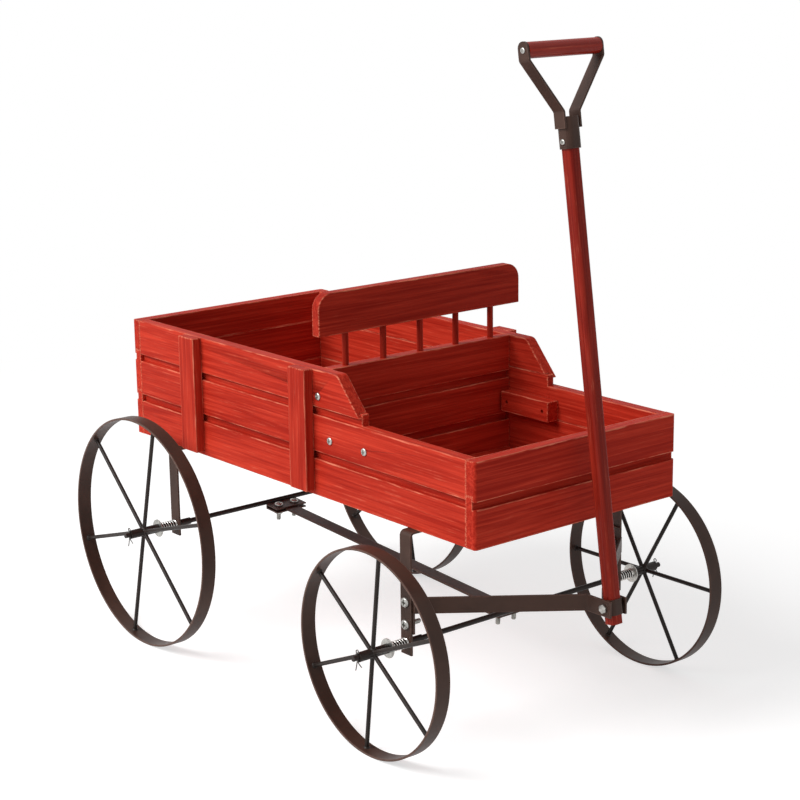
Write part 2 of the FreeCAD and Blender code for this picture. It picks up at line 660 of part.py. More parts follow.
def coil_spring(length):
    """A coil about Y, its ends square to the faces at Y = 0 and Y = length."""
    wire = size.spring_wire
    radius = size.spring_radius - wire / 2
    bend = wire * 1.25
    rise = wire * 2
    for _ in range(20):
        slope = math.atan2(rise, math.tau * radius)
        turning = math.pi / 2 - slope
        rise = (length - 2 * (wire + bend * math.sin(turning))) / size.spring_turns
    lead = Vector(radius, wire + bend * math.sin(turning), 0)

    def on_coil(angle):
        return Vector(radius * math.cos(angle), lead.y + rise * angle / math.tau, radius * math.sin(angle))

    end_angle = size.spring_turns * math.tau
    back = bend * (1 - math.cos(turning))
    entry = Vector(radius, wire, -back)
    knee = entry + Vector(0, bend * math.sin(turning / 2), bend * (1 - math.cos(turning / 2)))
    edges = [Part.makeLine(Vector(radius, 0, -back), entry), Part.Arc(entry, knee, lead).toShape()]
    steps = int(size.spring_turns * 2)
    for step in range(steps):
        low, high = step * math.pi, (step + 1) * math.pi
        edges += biarc(on_coil(low), unit_tangent(low, radius, rise),
                       on_coil(high), unit_tangent(high, radius, rise))
    flip = Rotation(Vector(1, 0, 0), 180)
    for edge in reversed(edges[:2]):
        ends = [flip.multVec(vertex.Point) + Vector(0, length, 0) for vertex in edge.Vertexes]
        if edge.Curve.TypeId == "Part::GeomLine":
            edges.append(Part.makeLine(ends[1], ends[0]))
        else:
            edges.append(Part.Arc(ends[1], flip.multVec(knee) + Vector(0, length, 0), ends[0]).toShape())
    path = Part.Wire(edges)
    section = [Vector(wire / 2 * math.cos(step * math.pi / 3), 0, wire / 2 * math.sin(step * math.pi / 3))
               for step in range(7)]
    profile = Part.makePolygon([corner + Vector(radius, 0, -back) for corner in section])
    gap = coil_gap(path, wire)
    return path.makePipeShell([profile], True, False), gap


def coil_gap(path, wire):
    """Least gap of the coil to itself, on points along the middle of its wire."""
    points = path.discretize(Number=400)
    spacing = path.Length / 399
    apart = int(math.pi * wire / spacing) + 1
    nearest = min((points[a] - points[b]).Length for a in range(400) for b in range(a + apart, 400))
    return nearest - wire


spring_length = size.spring_end - size.leg_offset - 2 * size.fitting_play
spring_shape, spring_gap = coil_spring(spring_length)
print(f"least gap of a spring to itself: {spring_gap:.2f} mm")
springs = doc.addObject("Part::Feature", "axle_springs")
springs.Label = "axle_springs"
springs.Shape = Part.Compound([
    moved(spring_shape, beside(size.leg_offset + size.fitting_play, *corner, TURN_LEFT))
    for corner in CORNERS])
PIECES.append(springs)

# Split pins hang through the axle ends, with the eye above and the legs spread below.
pin = size.split_pin_radius
eye = Vector(0, -pin, size.axle_radius + 4.5 * pin)
pin_pieces = [Part.makeCylinder(pin, 2 * size.axle_radius + 4 * pin,
                                Vector(0, 0, -size.axle_radius - 2 * pin)),
              Part.makeCylinder(3.2 * pin, 2 * pin, eye, Vector(0, 1, 0)).cut(
                  Part.makeCylinder(1.6 * pin, 2 * pin, eye, Vector(0, 1, 0)))]
for half in (-1, 1):
    pin_pieces.append(Part.makeCylinder(0.9 * pin, 9 * pin, Vector(0, 0, -size.axle_radius - 1.6 * pin),
                                        Vector(half * math.sin(0.7), 0, -math.cos(0.7))))
pins = doc.addObject("Part::Feature", "split_pins")
pins.Label = "split_pins"
pin_shape = pin_pieces[0].multiFuse(pin_pieces[1:])
pins.Shape = Part.Compound([moved(pin_shape, beside(size.split_pin_offset, *corner)) for corner in CORNERS])
PIECES.append(pins)

# Centre bar between both axles, parallel to the line between them.
tilt = Rotation(Vector(0, 1, 0), math.degrees(math.atan2(size.axle_drop, size.wheel_base)))
bar = new_body("centre_bar")
sketch = sketch_on(bar, "XZ_Plane")
rectangle(sketch, "bar_end", "bar_level - strap_thick", "axle_spacing - bar_end", "bar_level")
pad(bar, sketch, "bar_width", both_ways=True)
place(bar, "rear_axle_x", 0, "rear_wheel_radius", tilt)

# A sheet folded round the end of the bar, with its back welded to the axle.
for end, inwards in (("rear", tilt), ("front", tilt * TURN_LEFT)):
    clamp = new_body(f"{end}_axle_clamp")
    sketch = sketch_on(clamp, "XZ_Plane")
    fold = "clamp_back + clamp_sheet"
    outline(sketch, [("clamp_reach", "clamp_floor"), (fold, "clamp_floor"),
                     (fold, "clamp_roof - clamp_sheet"), ("clamp_reach", "clamp_roof - clamp_sheet"),
                     ("clamp_reach", "clamp_roof"), ("clamp_back", "clamp_roof"),
                     ("clamp_back", "clamp_floor - clamp_sheet"),
                     ("clamp_reach", "clamp_floor - clamp_sheet")])
    pad(clamp, sketch, "clamp_width", both_ways=True)
    drill(clamp, "XY_Plane", "bolt_hole",
          [("clamp_bolt_reach", f"{half} * clamp_bolt_offset") for half in (-1, 1)],
          "nut_height * 3", "nut_height")
    place(clamp, f"{end}_axle_x", 0, f"{end}_wheel_radius", inwards)

# Tongue straps, each with a plate bolted inside a front leg, that hold the pull handle between them.
for side, sign in SIDES.items():
    tongue = new_body(f"{side}_tongue_strap")
    sketch = sketch_on(tongue, "XY_Plane", "pivot_height - tongue_width / 2")
    plate = "leg_offset - strap_thick"
    outline(sketch, [("front_axle_x", f"{sign} * ({plate})"),
                     ("flange_front + tongue_mitre", f"{sign} * ({plate})"),
                     ("tongue_corner + tongue_mitre", f"{sign} * (tongue_inside + strap_thick)"),
                     ("tongue_end", f"{sign} * (tongue_inside + strap_thick)"),
                     ("tongue_end", f"{sign} * tongue_inside"),
                     ("tongue_corner - tongue_mitre", f"{sign} * tongue_inside"),
                     ("flange_front - tongue_mitre", f"{sign} * ({plate} - strap_thick)"),
                     ("front_axle_x", f"{sign} * ({plate} - strap_thick)")])
    pad(tongue, sketch, "tongue_width")
    sketch = sketch_on(tongue, "XZ_Plane", f"{-sign} * ({plate} - strap_thick / 2)")
    rectangle(sketch, "front_axle_x - flange_width / 2", "flange_height_middle - flange_height / 2",
              "front_axle_x + flange_width / 2", "flange_height_middle + flange_height / 2")
    pad(tongue, sketch, "strap_thick", both_ways=True)
    for near_x, near_y, inner in (
            (size.tongue_corner + size.tongue_mitre, size.tongue_inside + size.strap_thick, True),
            (size.tongue_corner - size.tongue_mitre, size.tongue_inside, False)):
        round_edges(tongue, "strap_bend" if inner else "strap_bend + strap_thick",
                    lambda edge: runs(edge, Vector(0, 0, 1)) and lies(edge, x=near_x, y=sign * near_y))
    drill(tongue, "XZ_Plane", "pivot_bolt_radius + bolt_play", [("pivot_x", "pivot_height")])
    drill(tongue, "XZ_Plane", "bolt_hole",
          [("front_axle_x", f"leg_bolt_height + {half} * leg_bolt_spacing / 2") for half in (-1, 1)])

# ---------------------------------------------------------------- bolts and screws

bolt = turned("bolt_pattern", [(0, "-bolt_head_height"), ("bolt_head_radius", "-bolt_head_height"),
                               ("bolt_head_radius", 0), ("bolt_radius", 0),
                               ("bolt_radius", "bolt_length"), (0, "bolt_length")], kept=False)


def nut_body(label, flats, radius, height, kept=True):
    """A hexagon nut about Y from Y = 0."""
    piece = new_body(label, kept)
    sketch = sketch_on(piece, "XZ_Plane")
    hexagon(sketch, flats)
    circle(sketch, f"{radius} + thread_play")
    pad(piece, sketch, height, backwards=True)
    return piece


nut = nut_body("nut_pattern", "bolt_flats", "bolt_radius", "nut_height", kept=False)
bolt_places = []
nut_places = []
DOWN = Rotation(Vector(1, 0, 0), -90)
for side in SIDES:
    for half in (-1, 1):
        height = size.leg_bolt_height + half * size.leg_bolt_spacing / 2
        bolt_places.append(beside(size.leg_offset, size.front_axle_x, height, side))
        nut_places.append(beside(size.leg_offset - 2 * size.strap_thick, size.front_axle_x, height, side))
for (axle_x, axle_z), inwards in zip(AXLES.values(), (tilt, tilt * TURN_LEFT)):
    for half in (-1, 1):
        for places, level in ((bolt_places, size.clamp_roof),
                              (nut_places, size.clamp_floor - size.clamp_sheet)):
            spot = Vector(size.clamp_bolt_reach, half * size.clamp_bolt_offset, level)
            places.append(Placement(Vector(axle_x, 0, axle_z), inwards) * Placement(spot, DOWN))
group("frame_bolts", bolt, bolt_places)
group("frame_nuts", nut, nut_places)

screw = turned("screw_pattern", [(0, "-screw_head_height"), ("screw_head_radius", "-screw_head_height"),
                                 ("screw_head_radius", 0), ("screw_radius", 0),
                                 ("screw_radius", "screw_length"), (0, "screw_length")], kept=False)
screw_places = []
for side, sign in SIDES.items():
    for across, up in ((size.partition_middle, size.partition_screw_z),
                       (size.rear_screw_x, size.cleat_screw_z), (size.front_screw_x, size.cleat_screw_z)):
        screw_places.append(beside(size.box_width / 2, across, up, side))
    for axle_x, axle_z in AXLES.values():
        spot = Vector(axle_x, sign * (size.box_width - size.board_thick) / 2,
                      size.floor_height - size.strap_thick)
        screw_places.append(Placement(spot, Rotation(Vector(1, 0, 0), 90)))
group("wood_screws", screw, screw_places)

# ---------------------------------------------------------------- pull handle

HANDLE = ("pivot_x", 0, "pivot_height", Rotation(Vector(0, 1, 0), -size.pole_lean))


def square_bar(label, width, rounding, low, high, hollow=None, hollow_round=None):
    """A square bar or tube along Z with rounded edges, the hollow rounded before the outside."""
    piece = new_body(label)
    sketch = sketch_on(piece, "XY_Plane", low)
    rectangle(sketch, f"-({width}) / 2", f"-({width}) / 2", f"({width}) / 2", f"({width}) / 2")
    if hollow:
        rectangle(sketch, f"-({hollow}) / 2", f"-({hollow}) / 2", f"({hollow}) / 2", f"({hollow}) / 2")
    pad(piece, sketch, f"{high} - ({low})")
    skin = piece.Tip.Shape.BoundBox.XMax - 0.01
    if hollow:
        round_edges(piece, hollow_round,
                    lambda edge: runs(edge, Vector(0, 0, 1)) and abs(edge.CenterOfMass.x) < skin)
    round_edges(piece, rounding,
                lambda edge: runs(edge, Vector(0, 0, 1)) and abs(edge.CenterOfMass.y) > skin - 0.01
                and lies(edge, x=math.copysign(skin, edge.CenterOfMass.x)))
    return piece


pole = square_bar("pole", "pole_width", "pole_round", "-pole_foot", "pole_reach")
drill(pole, "XZ_Plane", "pivot_bolt_radius + wheel_play", [(0, 0)])
drill(pole, "XZ_Plane", "sleeve_bolt_radius + bolt_play", [(0, "sleeve_bolt_reach")])
place(pole, *HANDLE)

collar = square_bar("pole_collar", "collar_width", "pole_round + collar_wall", "-collar_height / 2",
                    "collar_height / 2", "pole_width + 2 * sleeve_play", "pole_round")
drill(collar, "XZ_Plane", "pivot_bolt_radius + wheel_play", [(0, 0)])
place(collar, *HANDLE)

sleeve = square_bar("handle_sleeve", "sleeve_width", "pole_round + sleeve_wall", "sleeve_foot",
                    "sleeve_top", "pole_width + 2 * sleeve_play", "pole_round")
drill(sleeve, "XZ_Plane", "sleeve_bolt_radius + bolt_play", [(0, "sleeve_bolt_reach")])
place(sleeve, *HANDLE)

for side, sign in SIDES.items():
    fork = new_body(f"{side}_handle_strap")
    sketch = sketch_on(fork, "YZ_Plane")
    inner, outer = "sleeve_width / 2", "sleeve_width / 2 + strap_thick"
    outline(sketch, [(f"{sign} * ({inner})", "fork_foot"),
                     (f"{sign} * ({inner})", "fork_bend + fork_mitre"),
                     (f"{sign} * grip_half", "fork_shoulder + fork_mitre"),
                     (f"{sign} * grip_half", "fork_top"),
                     (f"{sign} * (grip_half + strap_thick)", "fork_top"),
                     (f"{sign} * (grip_half + strap_thick)", "fork_shoulder - fork_mitre"),
                     (f"{sign} * ({outer})", "fork_bend - fork_mitre"),
                     (f"{sign} * ({outer})", "fork_foot")])
    pad(fork, sketch, "fork_width", both_ways=True)
    near = size.sleeve_width / 2
    bends = ((near, size.fork_bend + size.fork_mitre, False),
             (near + size.strap_thick, size.fork_bend - size.fork_mitre, True),
             (size.grip_half, size.fork_shoulder + size.fork_mitre, True),
             (size.grip_half + size.strap_thick, size.fork_shoulder - size.fork_mitre, False))
    for near_y, near_z, inside in bends:
        round_edges(fork, "strap_bend" if inside else "strap_bend + strap_thick",
                    lambda edge: runs(edge, Vector(1, 0, 0)) and lies(edge, y=sign * near_y, z=near_z))
    round_edges(fork, "fork_width / 2 - fitting_play",
                lambda edge: runs(edge, Vector(0, 1, 0)) and lies(edge, z=size.fork_top))
    sketch = sketch_on(fork, "XZ_Plane", f"{-sign} * (grip_half - strap_thick)")
    circle(sketch, "grip_screw_radius + fitting_play", 0, "grip_reach")
    pocket(fork, sketch, "4 * strap_thick", backwards=sign < 0)
    place(fork, *HANDLE)

grip = turned("grip", [(0, "-grip_half + fitting_play"), ("grip_radius", "-grip_half + fitting_play"),
                       ("grip_radius", "grip_half - fitting_play"), (0, "grip_half - fitting_play")])
for backwards, end in ((False, "grip_half"), (True, "-grip_half")):
    drill(grip, "XZ_Plane", "grip_screw_radius + fitting_play", [(0, 0)], "grip_screw_length", end,
          backwards)
tilted = Placement(Vector(size.pivot_x, 0, size.pivot_height), HANDLE[3])
reach = tilted.multVec(Vector(0, 0, size.grip_reach))
grip.Placement = Placement(reach, HANDLE[3])

grip_screw = turned("grip_screw_pattern",
                    [(0, "-grip_head_height"), ("grip_head_radius", "-grip_head_height"),
                     ("grip_head_radius", 0), ("grip_screw_radius", 0),
                     ("grip_screw_radius", "grip_screw_length - 0.5"),
                     (0, "grip_screw_length - 0.5")], kept=False)
group("grip_screws", grip_screw,
      [tilted * Placement(Vector(0, sign * (size.grip_half + size.strap_thick), size.grip_reach),
                          FACING[side]) for side, sign in SIDES.items()])

pivot_bolt = new_body("pivot_bolt")
sketch = sketch_on(pivot_bolt, "XZ_Plane")
hexagon(sketch, "pivot_flats")
pad(pivot_bolt, sketch, "pivot_head_height")
sketch = sketch_on(pivot_bolt, "XZ_Plane")
circle(sketch, "pivot_bolt_radius")
pad(pivot_bolt, sketch, "2 * (tongue_inside + strap_thick) + pivot_head_height + 1", backwards=True)
place(pivot_bolt, "pivot_x", "-tongue_inside - strap_thick", "pivot_height")
place(nut_body("pivot_nut", "pivot_flats", "pivot_bolt_radius", "pivot_head_height"),
      "pivot_x", "tongue_inside + strap_thick", "pivot_height")

sleeve_bolt = turned("sleeve_bolt", [(0, "-sleeve_head_height"),
                                     ("sleeve_head_radius", "-sleeve_head_height"),
                                     ("sleeve_head_radius", 0), ("sleeve_bolt_radius", 0),
                                     ("sleeve_bolt_radius", "sleeve_width + sleeve_nut_height + 0.5"),
                                     (0, "sleeve_width + sleeve_nut_height + 0.5")])
sleeve_nut = nut_body("sleeve_nut", "sleeve_flats", "sleeve_bolt_radius", "sleeve_nut_height")
for piece, sign in ((sleeve_bolt, -1), (sleeve_nut, 1)):
    spot = Vector(0, sign * size.sleeve_width / 2, size.sleeve_bolt_reach)
    piece.Placement = tilted * Placement(spot, Rotation())

# ---------------------------------------------------------------- checks and export

doc.recompute()
for item in doc.Objects:
    if "Invalid" in item.State or "Error" in item.State:
        raise RuntimeError(f"{item.Name} of {item.Label} is not sound: {item.State}")
os.makedirs("parts", exist_ok=True)
for piece in PIECES:
    if piece.Shape.isNull() or not piece.Shape.isValid() or not piece.Shape.Solids:
        raise RuntimeError(f"{piece.Label} has no sound solid")
    piece.Shape.exportStep(f"parts/{piece.Label}.step")
print(f"{len(PIECES)} nodes, {sum(len(piece.Shape.Solids) for piece in PIECES)} solids")
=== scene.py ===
import json
import math

import bmesh
import bpy
import numpy as np
from bpy.props import FloatProperty, FloatVectorProperty, IntProperty, PointerProperty
from mathutils import Matrix, Vector

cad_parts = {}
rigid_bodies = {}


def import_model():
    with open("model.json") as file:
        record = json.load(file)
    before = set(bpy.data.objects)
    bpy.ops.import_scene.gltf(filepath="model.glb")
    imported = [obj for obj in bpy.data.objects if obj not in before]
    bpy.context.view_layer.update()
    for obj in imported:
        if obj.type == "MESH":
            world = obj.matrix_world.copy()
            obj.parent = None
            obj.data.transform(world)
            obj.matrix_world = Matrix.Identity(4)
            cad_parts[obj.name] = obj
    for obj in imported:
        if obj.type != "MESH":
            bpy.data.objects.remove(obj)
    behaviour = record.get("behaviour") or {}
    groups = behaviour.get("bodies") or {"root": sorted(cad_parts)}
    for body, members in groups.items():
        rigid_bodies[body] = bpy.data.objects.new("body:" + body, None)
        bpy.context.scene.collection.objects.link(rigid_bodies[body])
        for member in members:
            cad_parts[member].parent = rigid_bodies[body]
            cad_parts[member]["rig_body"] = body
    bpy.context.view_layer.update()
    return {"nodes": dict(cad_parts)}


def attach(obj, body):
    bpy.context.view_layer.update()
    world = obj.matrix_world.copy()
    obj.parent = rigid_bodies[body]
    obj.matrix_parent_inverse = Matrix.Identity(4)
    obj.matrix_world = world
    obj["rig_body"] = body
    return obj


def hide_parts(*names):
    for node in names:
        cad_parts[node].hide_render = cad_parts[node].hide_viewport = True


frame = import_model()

bl_info = {
    "name": "Flower Cart Finish",
    "version": (1, 0, 0),
    "blender": (4, 5, 0),
    "location": "3D View > Sidebar > Cart",
    "description": "Finishes a wooden flower cart: worn red boards, lacquered steel, springs and screws",
    "category": "Object",
}

MM = 0.001

CORNER = 0.6  # radians that two faces turn at an edge that gets rounded
FACET_TURN = (0.01, 0.55)  # radians that the facets of a rounded surface turn
MANY_FACETS = 40  # a piece with as many has a curved body, and not only rounded corners
WIDE_FACE = 12 * MM * MM
FLAT_FACE = 6 * MM * MM
ONE_WAY = 0.99999  # the least product of two directions that count as the same
IN_PLANE = 0.02 * MM
LEVEL = 0.01 * MM  # the most that two points at the same height differ


def ink(red, green, blue):
    """A colour as it is seen, from 0 to 255, in the linear values that shaders use."""
    shares = [value / 255 for value in (red, green, blue)]
    return tuple(s / 12.92 if s < 0.04045 else ((s + 0.055) / 1.055) ** 2.4 for s in shares)


# ---------------------------------------------------------------- settings


class WoodSettings(bpy.types.PropertyGroup):
    stain: FloatVectorProperty(
        name="Stain", description="Red stain of the boards", subtype="COLOR", min=0, max=1,
        default=ink(208, 62, 42))
    deep_stain: FloatVectorProperty(
        name="Deep stain", description="Darker red between the fibres", subtype="COLOR", min=0, max=1,
        default=ink(152, 28, 16))
    # This pale colour also paints the sheen in the pale strokes on the long boards and the pole.
    rubbed: FloatVectorProperty(
        name="Rubbed wood", description="Pale wood where the stain is rubbed off", subtype="COLOR",
        min=0, max=1, default=ink(236, 142, 112))
    rounding: FloatProperty(
        name="Rounding", description="Rounding of the edges of the boards", unit="LENGTH",
        min=0, default=0.7 * MM)
    wear: FloatProperty(
        name="Wear", description="How much of the edges is rubbed pale", subtype="FACTOR",
        min=0, max=1, default=0.5)


class SteelSettings(bpy.types.PropertyGroup):
    lacquer: FloatVectorProperty(
        name="Lacquer", description="Dark brown lacquer of the straps and the rims", subtype="COLOR",
        min=0, max=1, default=ink(66, 46, 38))
    rod_lacquer: FloatVectorProperty(
        name="Rod lacquer", description="Lacquer of the spokes and the axles", subtype="COLOR",
        min=0, max=1, default=ink(44, 37, 34))
    zinc: FloatVectorProperty(
        name="Zinc", description="Plating of the bolts, nuts and screws", subtype="COLOR", min=0, max=1,
        default=ink(188, 187, 182))
    bright: FloatVectorProperty(
        name="Bright steel", description="Plating of the springs", subtype="COLOR", min=0, max=1,
        default=ink(226, 224, 220))
    rounding: FloatProperty(
        name="Rounding", description="Rounding of the edges of the flat steel", unit="LENGTH", min=0,
        default=0.25 * MM)


class HardwareSettings(bpy.types.PropertyGroup):
    thread_pitch: FloatProperty(
        name="Thread pitch", description="Pitch of the threads of the frame bolts", unit="LENGTH",
        min=0.2 * MM, default=0.8 * MM)
    recess: FloatProperty(
        name="Recess", description="Reach of the cross recess, as a share of the head", subtype="FACTOR",
        min=0.1, max=0.9, default=0.58)
    spring_turns: IntProperty(
        name="Spring turns", description="Open turns of a spring between its closed ends",
        min=2, max=12, default=6)
    spring_wire: FloatProperty(
        name="Spring wire", description="Thickness of the spring's wire", unit="LENGTH",
        min=0.3 * MM, default=1.0 * MM)
    pin_wire: FloatProperty(
        name="Pin wire", description="Thickness of the wire of a split pin", unit="LENGTH",
        min=0.3 * MM, default=1.0 * MM)


class StageSettings(bpy.types.PropertyGroup):
    floor: FloatVectorProperty(
        name="Floor", description="Pale floor", subtype="COLOR", min=0, max=1, default=(0.82, 0.82, 0.82))
    key: FloatProperty(
        name="Key lamp", description="Large soft lamp on the cart's right side", unit="POWER",
        min=0, default=100)
    fill: FloatProperty(
        name="Fill lamp", description="Soft lamp in front of the cart", unit="POWER", min=0, default=3)
    sky: FloatProperty(
        name="Sky", description="Even light from all round", min=0, max=2, default=0.36)
    distance: FloatProperty(
        name="Camera distance", description="From the camera to the cart", unit="LENGTH",
        min=0.5, default=1.9006)
    lens: FloatProperty(
        name="Lens", description="Focal length", unit="CAMERA", min=10, default=88.34)


SETTINGS = {
    "cart_wood": WoodSettings,
    "cart_steel": SteelSettings,
    "cart_hardware": HardwareSettings,
    "cart_stage": StageSettings,
}


# ---------------------------------------------------------------- finishes


class Field:
    """A value of a shader that Python's operators combine, adding the nodes that work it out."""

    def __init__(self, finish, socket):
        self.finish = finish
        self.socket = socket

    def math(self, operation, *values):
        return self.finish.node("Math", {"operation": operation}, dict(enumerate(values)))

    def __add__(self, other):
        return self.math("ADD", self, other)

    def __radd__(self, other):
        return self.math("ADD", other, self)

    def __sub__(self, other):
        return self.math("SUBTRACT", self, other)

    def __rsub__(self, other):
        return self.math("SUBTRACT", other, self)

    def __mul__(self, other):
        return self.math("MULTIPLY", self, other)

    def __rmul__(self, other):
        return self.math("MULTIPLY", other, self)

    def wave(self):
        """Swings between 0 and 1 as the value grows by 2 pi."""
        return self.math("SINE", self) * 0.5 + 0.5

    def above(self, low, high):
        """0 below low, 1 above high, and smooth between them."""
        return self.finish.node("MapRange", {"interpolation_type": "SMOOTHSTEP"},
                                {"Value": self, "From Min": low, "From Max": high})


class Finish:
    """The nodes of a material or of the world, built one by one."""

    def __init__(self, owner):
        owner.use_nodes = True
        self.owner = owner
        self.tree = owner.node_tree
        self.tree.nodes.clear()

    def node(self, kind, settings=None, inputs=None, output=0):
        """A new node: its type, its settings, the values or links of its sockets, and the output to use."""
        made = self.tree.nodes.new("ShaderNode" + kind)
        for name, value in (settings or {}).items():
            setattr(made, name, value)
        for name, value in (inputs or {}).items():
            if isinstance(value, Field):
                self.tree.links.new(value.socket, made.inputs[name])
            else:
                made.inputs[name].default_value = value
        return Field(self, made.outputs[output]) if made.outputs else None

    def place(self, turn=(0, 0, 0)):
        """Where a point of the cart is, turned so that the grain runs along X."""
        return self.node("Mapping", {"vector_type": "POINT"},
                         {"Vector": self.node("TexCoord", output="Object"), "Rotation": turn})

    def noise(self, place, across, detail=3.0, roughness=0.5, distortion=0.0):
        """Uneven patches, from 0 to 1, of the given size along X, Y and Z."""
        stretched = self.node("VectorMath", {"operation": "DIVIDE"}, {0: place, 1: across})
        return self.node("TexNoise", {}, {"Vector": stretched, "Scale": 1.0, "Detail": detail,
                                          "Roughness": roughness, "Distortion": distortion})

    def worn_and_highlit(self):
        """1 along the edges of a piece and 0 a little way in: rubbed wood on the boards, and worn lacquer
        with a painted highlight on the steel.
        """
        return self.node("Attribute", {"attribute_name": "worn_and_highlit"}, output="Fac")

    def blend(self, share, first, second):
        """From the first colour to the second. Sockets 6 and 7 and output 2 are those for colours."""
        ends = [colour if isinstance(colour, Field) else (*colour, 1.0) for colour in (first, second)]
        return self.node("Mix", {"data_type": "RGBA"}, {0: share, 6: ends[0], 7: ends[1]}, output=2)

    def relief(self, height, depth, strength):
        return self.node("Bump", {}, {"Height": height, "Distance": depth, "Strength": strength})

    def surface(self, **sockets):
        """The finished surface. Socket names are written with _ for spaces."""
        named = {name.replace("_", " "): value for name, value in sockets.items()}
        shader = self.node("BsdfPrincipled", {}, named)
        self.node("OutputMaterial", {}, {"Surface": shader})
        return self.owner


def shaded(colour, share):
    """A colour made darker or lighter by a share."""
    return tuple(min(share * part, 1) for part in colour)


def red_wood(name, turn=(0, 0, 0), shade=1.0, scuffs_and_sheen=0.15, coat=0.0):
    """Softwood with a red stain, rubbed pale here and there along its edges, and with pale strokes along
    its grain that are partly brushed wear and partly painted sheen.
    """
    look = bpy.context.scene.cart_wood
    finish = Finish(bpy.data.materials.new(name))
    place = finish.place(turn)
    tone = finish.noise(place, (0.35, 0.045, 0.045), 2.0)
    figure = (finish.noise(place, (0.5, 0.022, 0.022), 2.0, distortion=0.6) * 46).wave()
    fibre = finish.noise(place, (0.09, 0.0016, 0.0016), 4.0, 0.6)
    pores = finish.noise(place, (0.016, 0.0007, 0.0007), 2.0, 0.6)
    rub_and_sheen = finish.noise(place, (0.024, 0.0018, 0.0018), 5.0, 0.65)
    depth = (fibre * 0.85 + figure * 0.18 + tone * 0.6 - 0.36).above(0.1, 0.9)
    stain = finish.blend(depth, shaded(look.deep_stain, shade), shaded(look.stain, shade))
    # Pale strokes along the grain: partly brushed wear, partly painted sheen of light glancing off the long
    # boards and painted streaks of reflected light on the pole.
    brushed_and_sheen = (rub_and_sheen * 0.8 + fibre * 0.5).above(0.7, 0.98) * scuffs_and_sheen
    edge = (finish.worn_and_highlit() * (0.3 + 0.4 * look.wear) + rub_and_sheen * 0.9).above(0.82, 1.14)
    bare_and_sheen = 1 - (1 - brushed_and_sheen) * (1 - edge * 0.8)
    colour = finish.blend(bare_and_sheen * min(1, 0.35 + 0.65 * shade), stain, tuple(look.rubbed))
    rough = 0.46 + fibre * 0.16 + bare_and_sheen * 0.15
    relief = finish.relief(fibre * 0.6 + pores * 0.3 + figure * 0.12, 0.4 * MM, 0.9)
    return finish.surface(Base_Color=colour, Roughness=rough, Specular_IOR_Level=0.06, Coat_Weight=coat,
                          Coat_Roughness=0.22, Normal=relief)


def lacquered_steel(name, colour, sheen=0.36):
    """Steel under a dark lacquer with a faint orange-peel skin, thinner and lighter along its edges, partly
    as worn lacquer and partly as a painted highlight.
    """
    finish = Finish(bpy.data.materials.new(name))
    place = finish.place()
    cloud = finish.noise(place, (0.03, 0.03, 0.03), 3.0)
    peel = finish.noise(place, (0.0011, 0.0011, 0.0011), 2.0)
    grime = finish.noise(place, (0.006, 0.006, 0.006), 5.0, 0.6)
    # Lighter along the edges: partly worn lacquer, partly a painted highlight on the edges.
    thin_and_highlit = (finish.worn_and_highlit() * 0.6 + grime * 0.6).above(0.62, 1.0)
    base = finish.blend(cloud.above(0.3, 0.7), shaded(colour, 0.8), shaded(colour, 1.15))
    shown = finish.blend(thin_and_highlit * 0.45, base, tuple(3.0 * part + 0.02 for part in colour))
    rough = sheen + grime * 0.14 - thin_and_highlit * 0.06
    return finish.surface(Base_Color=shown, Roughness=rough, Specular_IOR_Level=0.18,
                          Normal=finish.relief(peel, 0.05 * MM, 0.5))


def plated_steel(name, colour, rough):
    """Bare plated metal with fine marks and a little dullness in patches."""
    finish = Finish(bpy.data.materials.new(name))
    place = finish.place()
    dull = finish.noise(place, (0.004, 0.004, 0.004), 4.0, 0.6)
    marks = finish.noise(place, (0.0006, 0.0006, 0.0006), 2.0)
    tone = finish.blend(dull.above(0.35, 0.75), colour, shaded(colour, 0.72))
    return finish.surface(Base_Color=tone, Metallic=1.0, Roughness=rough + dull * 0.16,
                          Normal=finish.relief(marks, 0.02 * MM, 0.5))


MADE = {}
POLE_LEAN = math.radians(8.16)


def finish_of(name):
    """Each finish is made once, when the first piece asks for it."""
    if name not in MADE:
        steel = bpy.context.scene.cart_steel
        across, upright = (0, 0, -math.pi / 2), (0, math.pi / 2, 0)
        leaning = (0, math.pi / 2 + POLE_LEAN, 0)
        MADE[name] = {
            # The long boards and the pole get more pale strokes, which paint the sheen of light on them as
            # well as brushed wear.
            "wood_long": lambda: red_wood(name, scuffs_and_sheen=0.34),
            "wood_cross": lambda: red_wood(name, across),
            "wood_rail": lambda: red_wood(name, across, shade=0.8),
            "wood_upright": lambda: red_wood(name, upright, shade=0.9, scuffs_and_sheen=0.25),
            "wood_spindle": lambda: red_wood(name, upright, shade=0.7),
            "wood_pole": lambda: red_wood(name, leaning, shade=0.52, scuffs_and_sheen=0.4, coat=0.12),
            "wood_grip": lambda: red_wood(name, across, shade=0.64, scuffs_and_sheen=0.3, coat=0.3),
            "lacquer": lambda: lacquered_steel(name, steel.lacquer),
            "rod_lacquer": lambda: lacquered_steel(name, steel.rod_lacquer, sheen=0.3),
            "zinc": lambda: plated_steel(name, steel.zinc, rough=0.26),
            "bright_steel": lambda: plated_steel(name, steel.bright, rough=0.12),
            "zinc_wire": lambda: plated_steel(name, shaded(steel.zinc, 0.3), rough=0.34),
        }[name]()
    return MADE[name]


# ---------------------------------------------------------------- ways of making a piece


def hang(name, mesh, finish, *nodes, extra=False):
    """A finished mesh, hung on the body of the CAD nodes that it stands for, or that it is extra to."""
    mesh.materials.clear()
    mesh.materials.append(finish_of(finish))
    piece = bpy.data.objects.new(name, mesh)
    bpy.context.scene.collection.objects.link(piece)
    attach(piece, frame["nodes"][nodes[0]]["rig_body"])
    if not extra:
        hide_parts(*nodes)


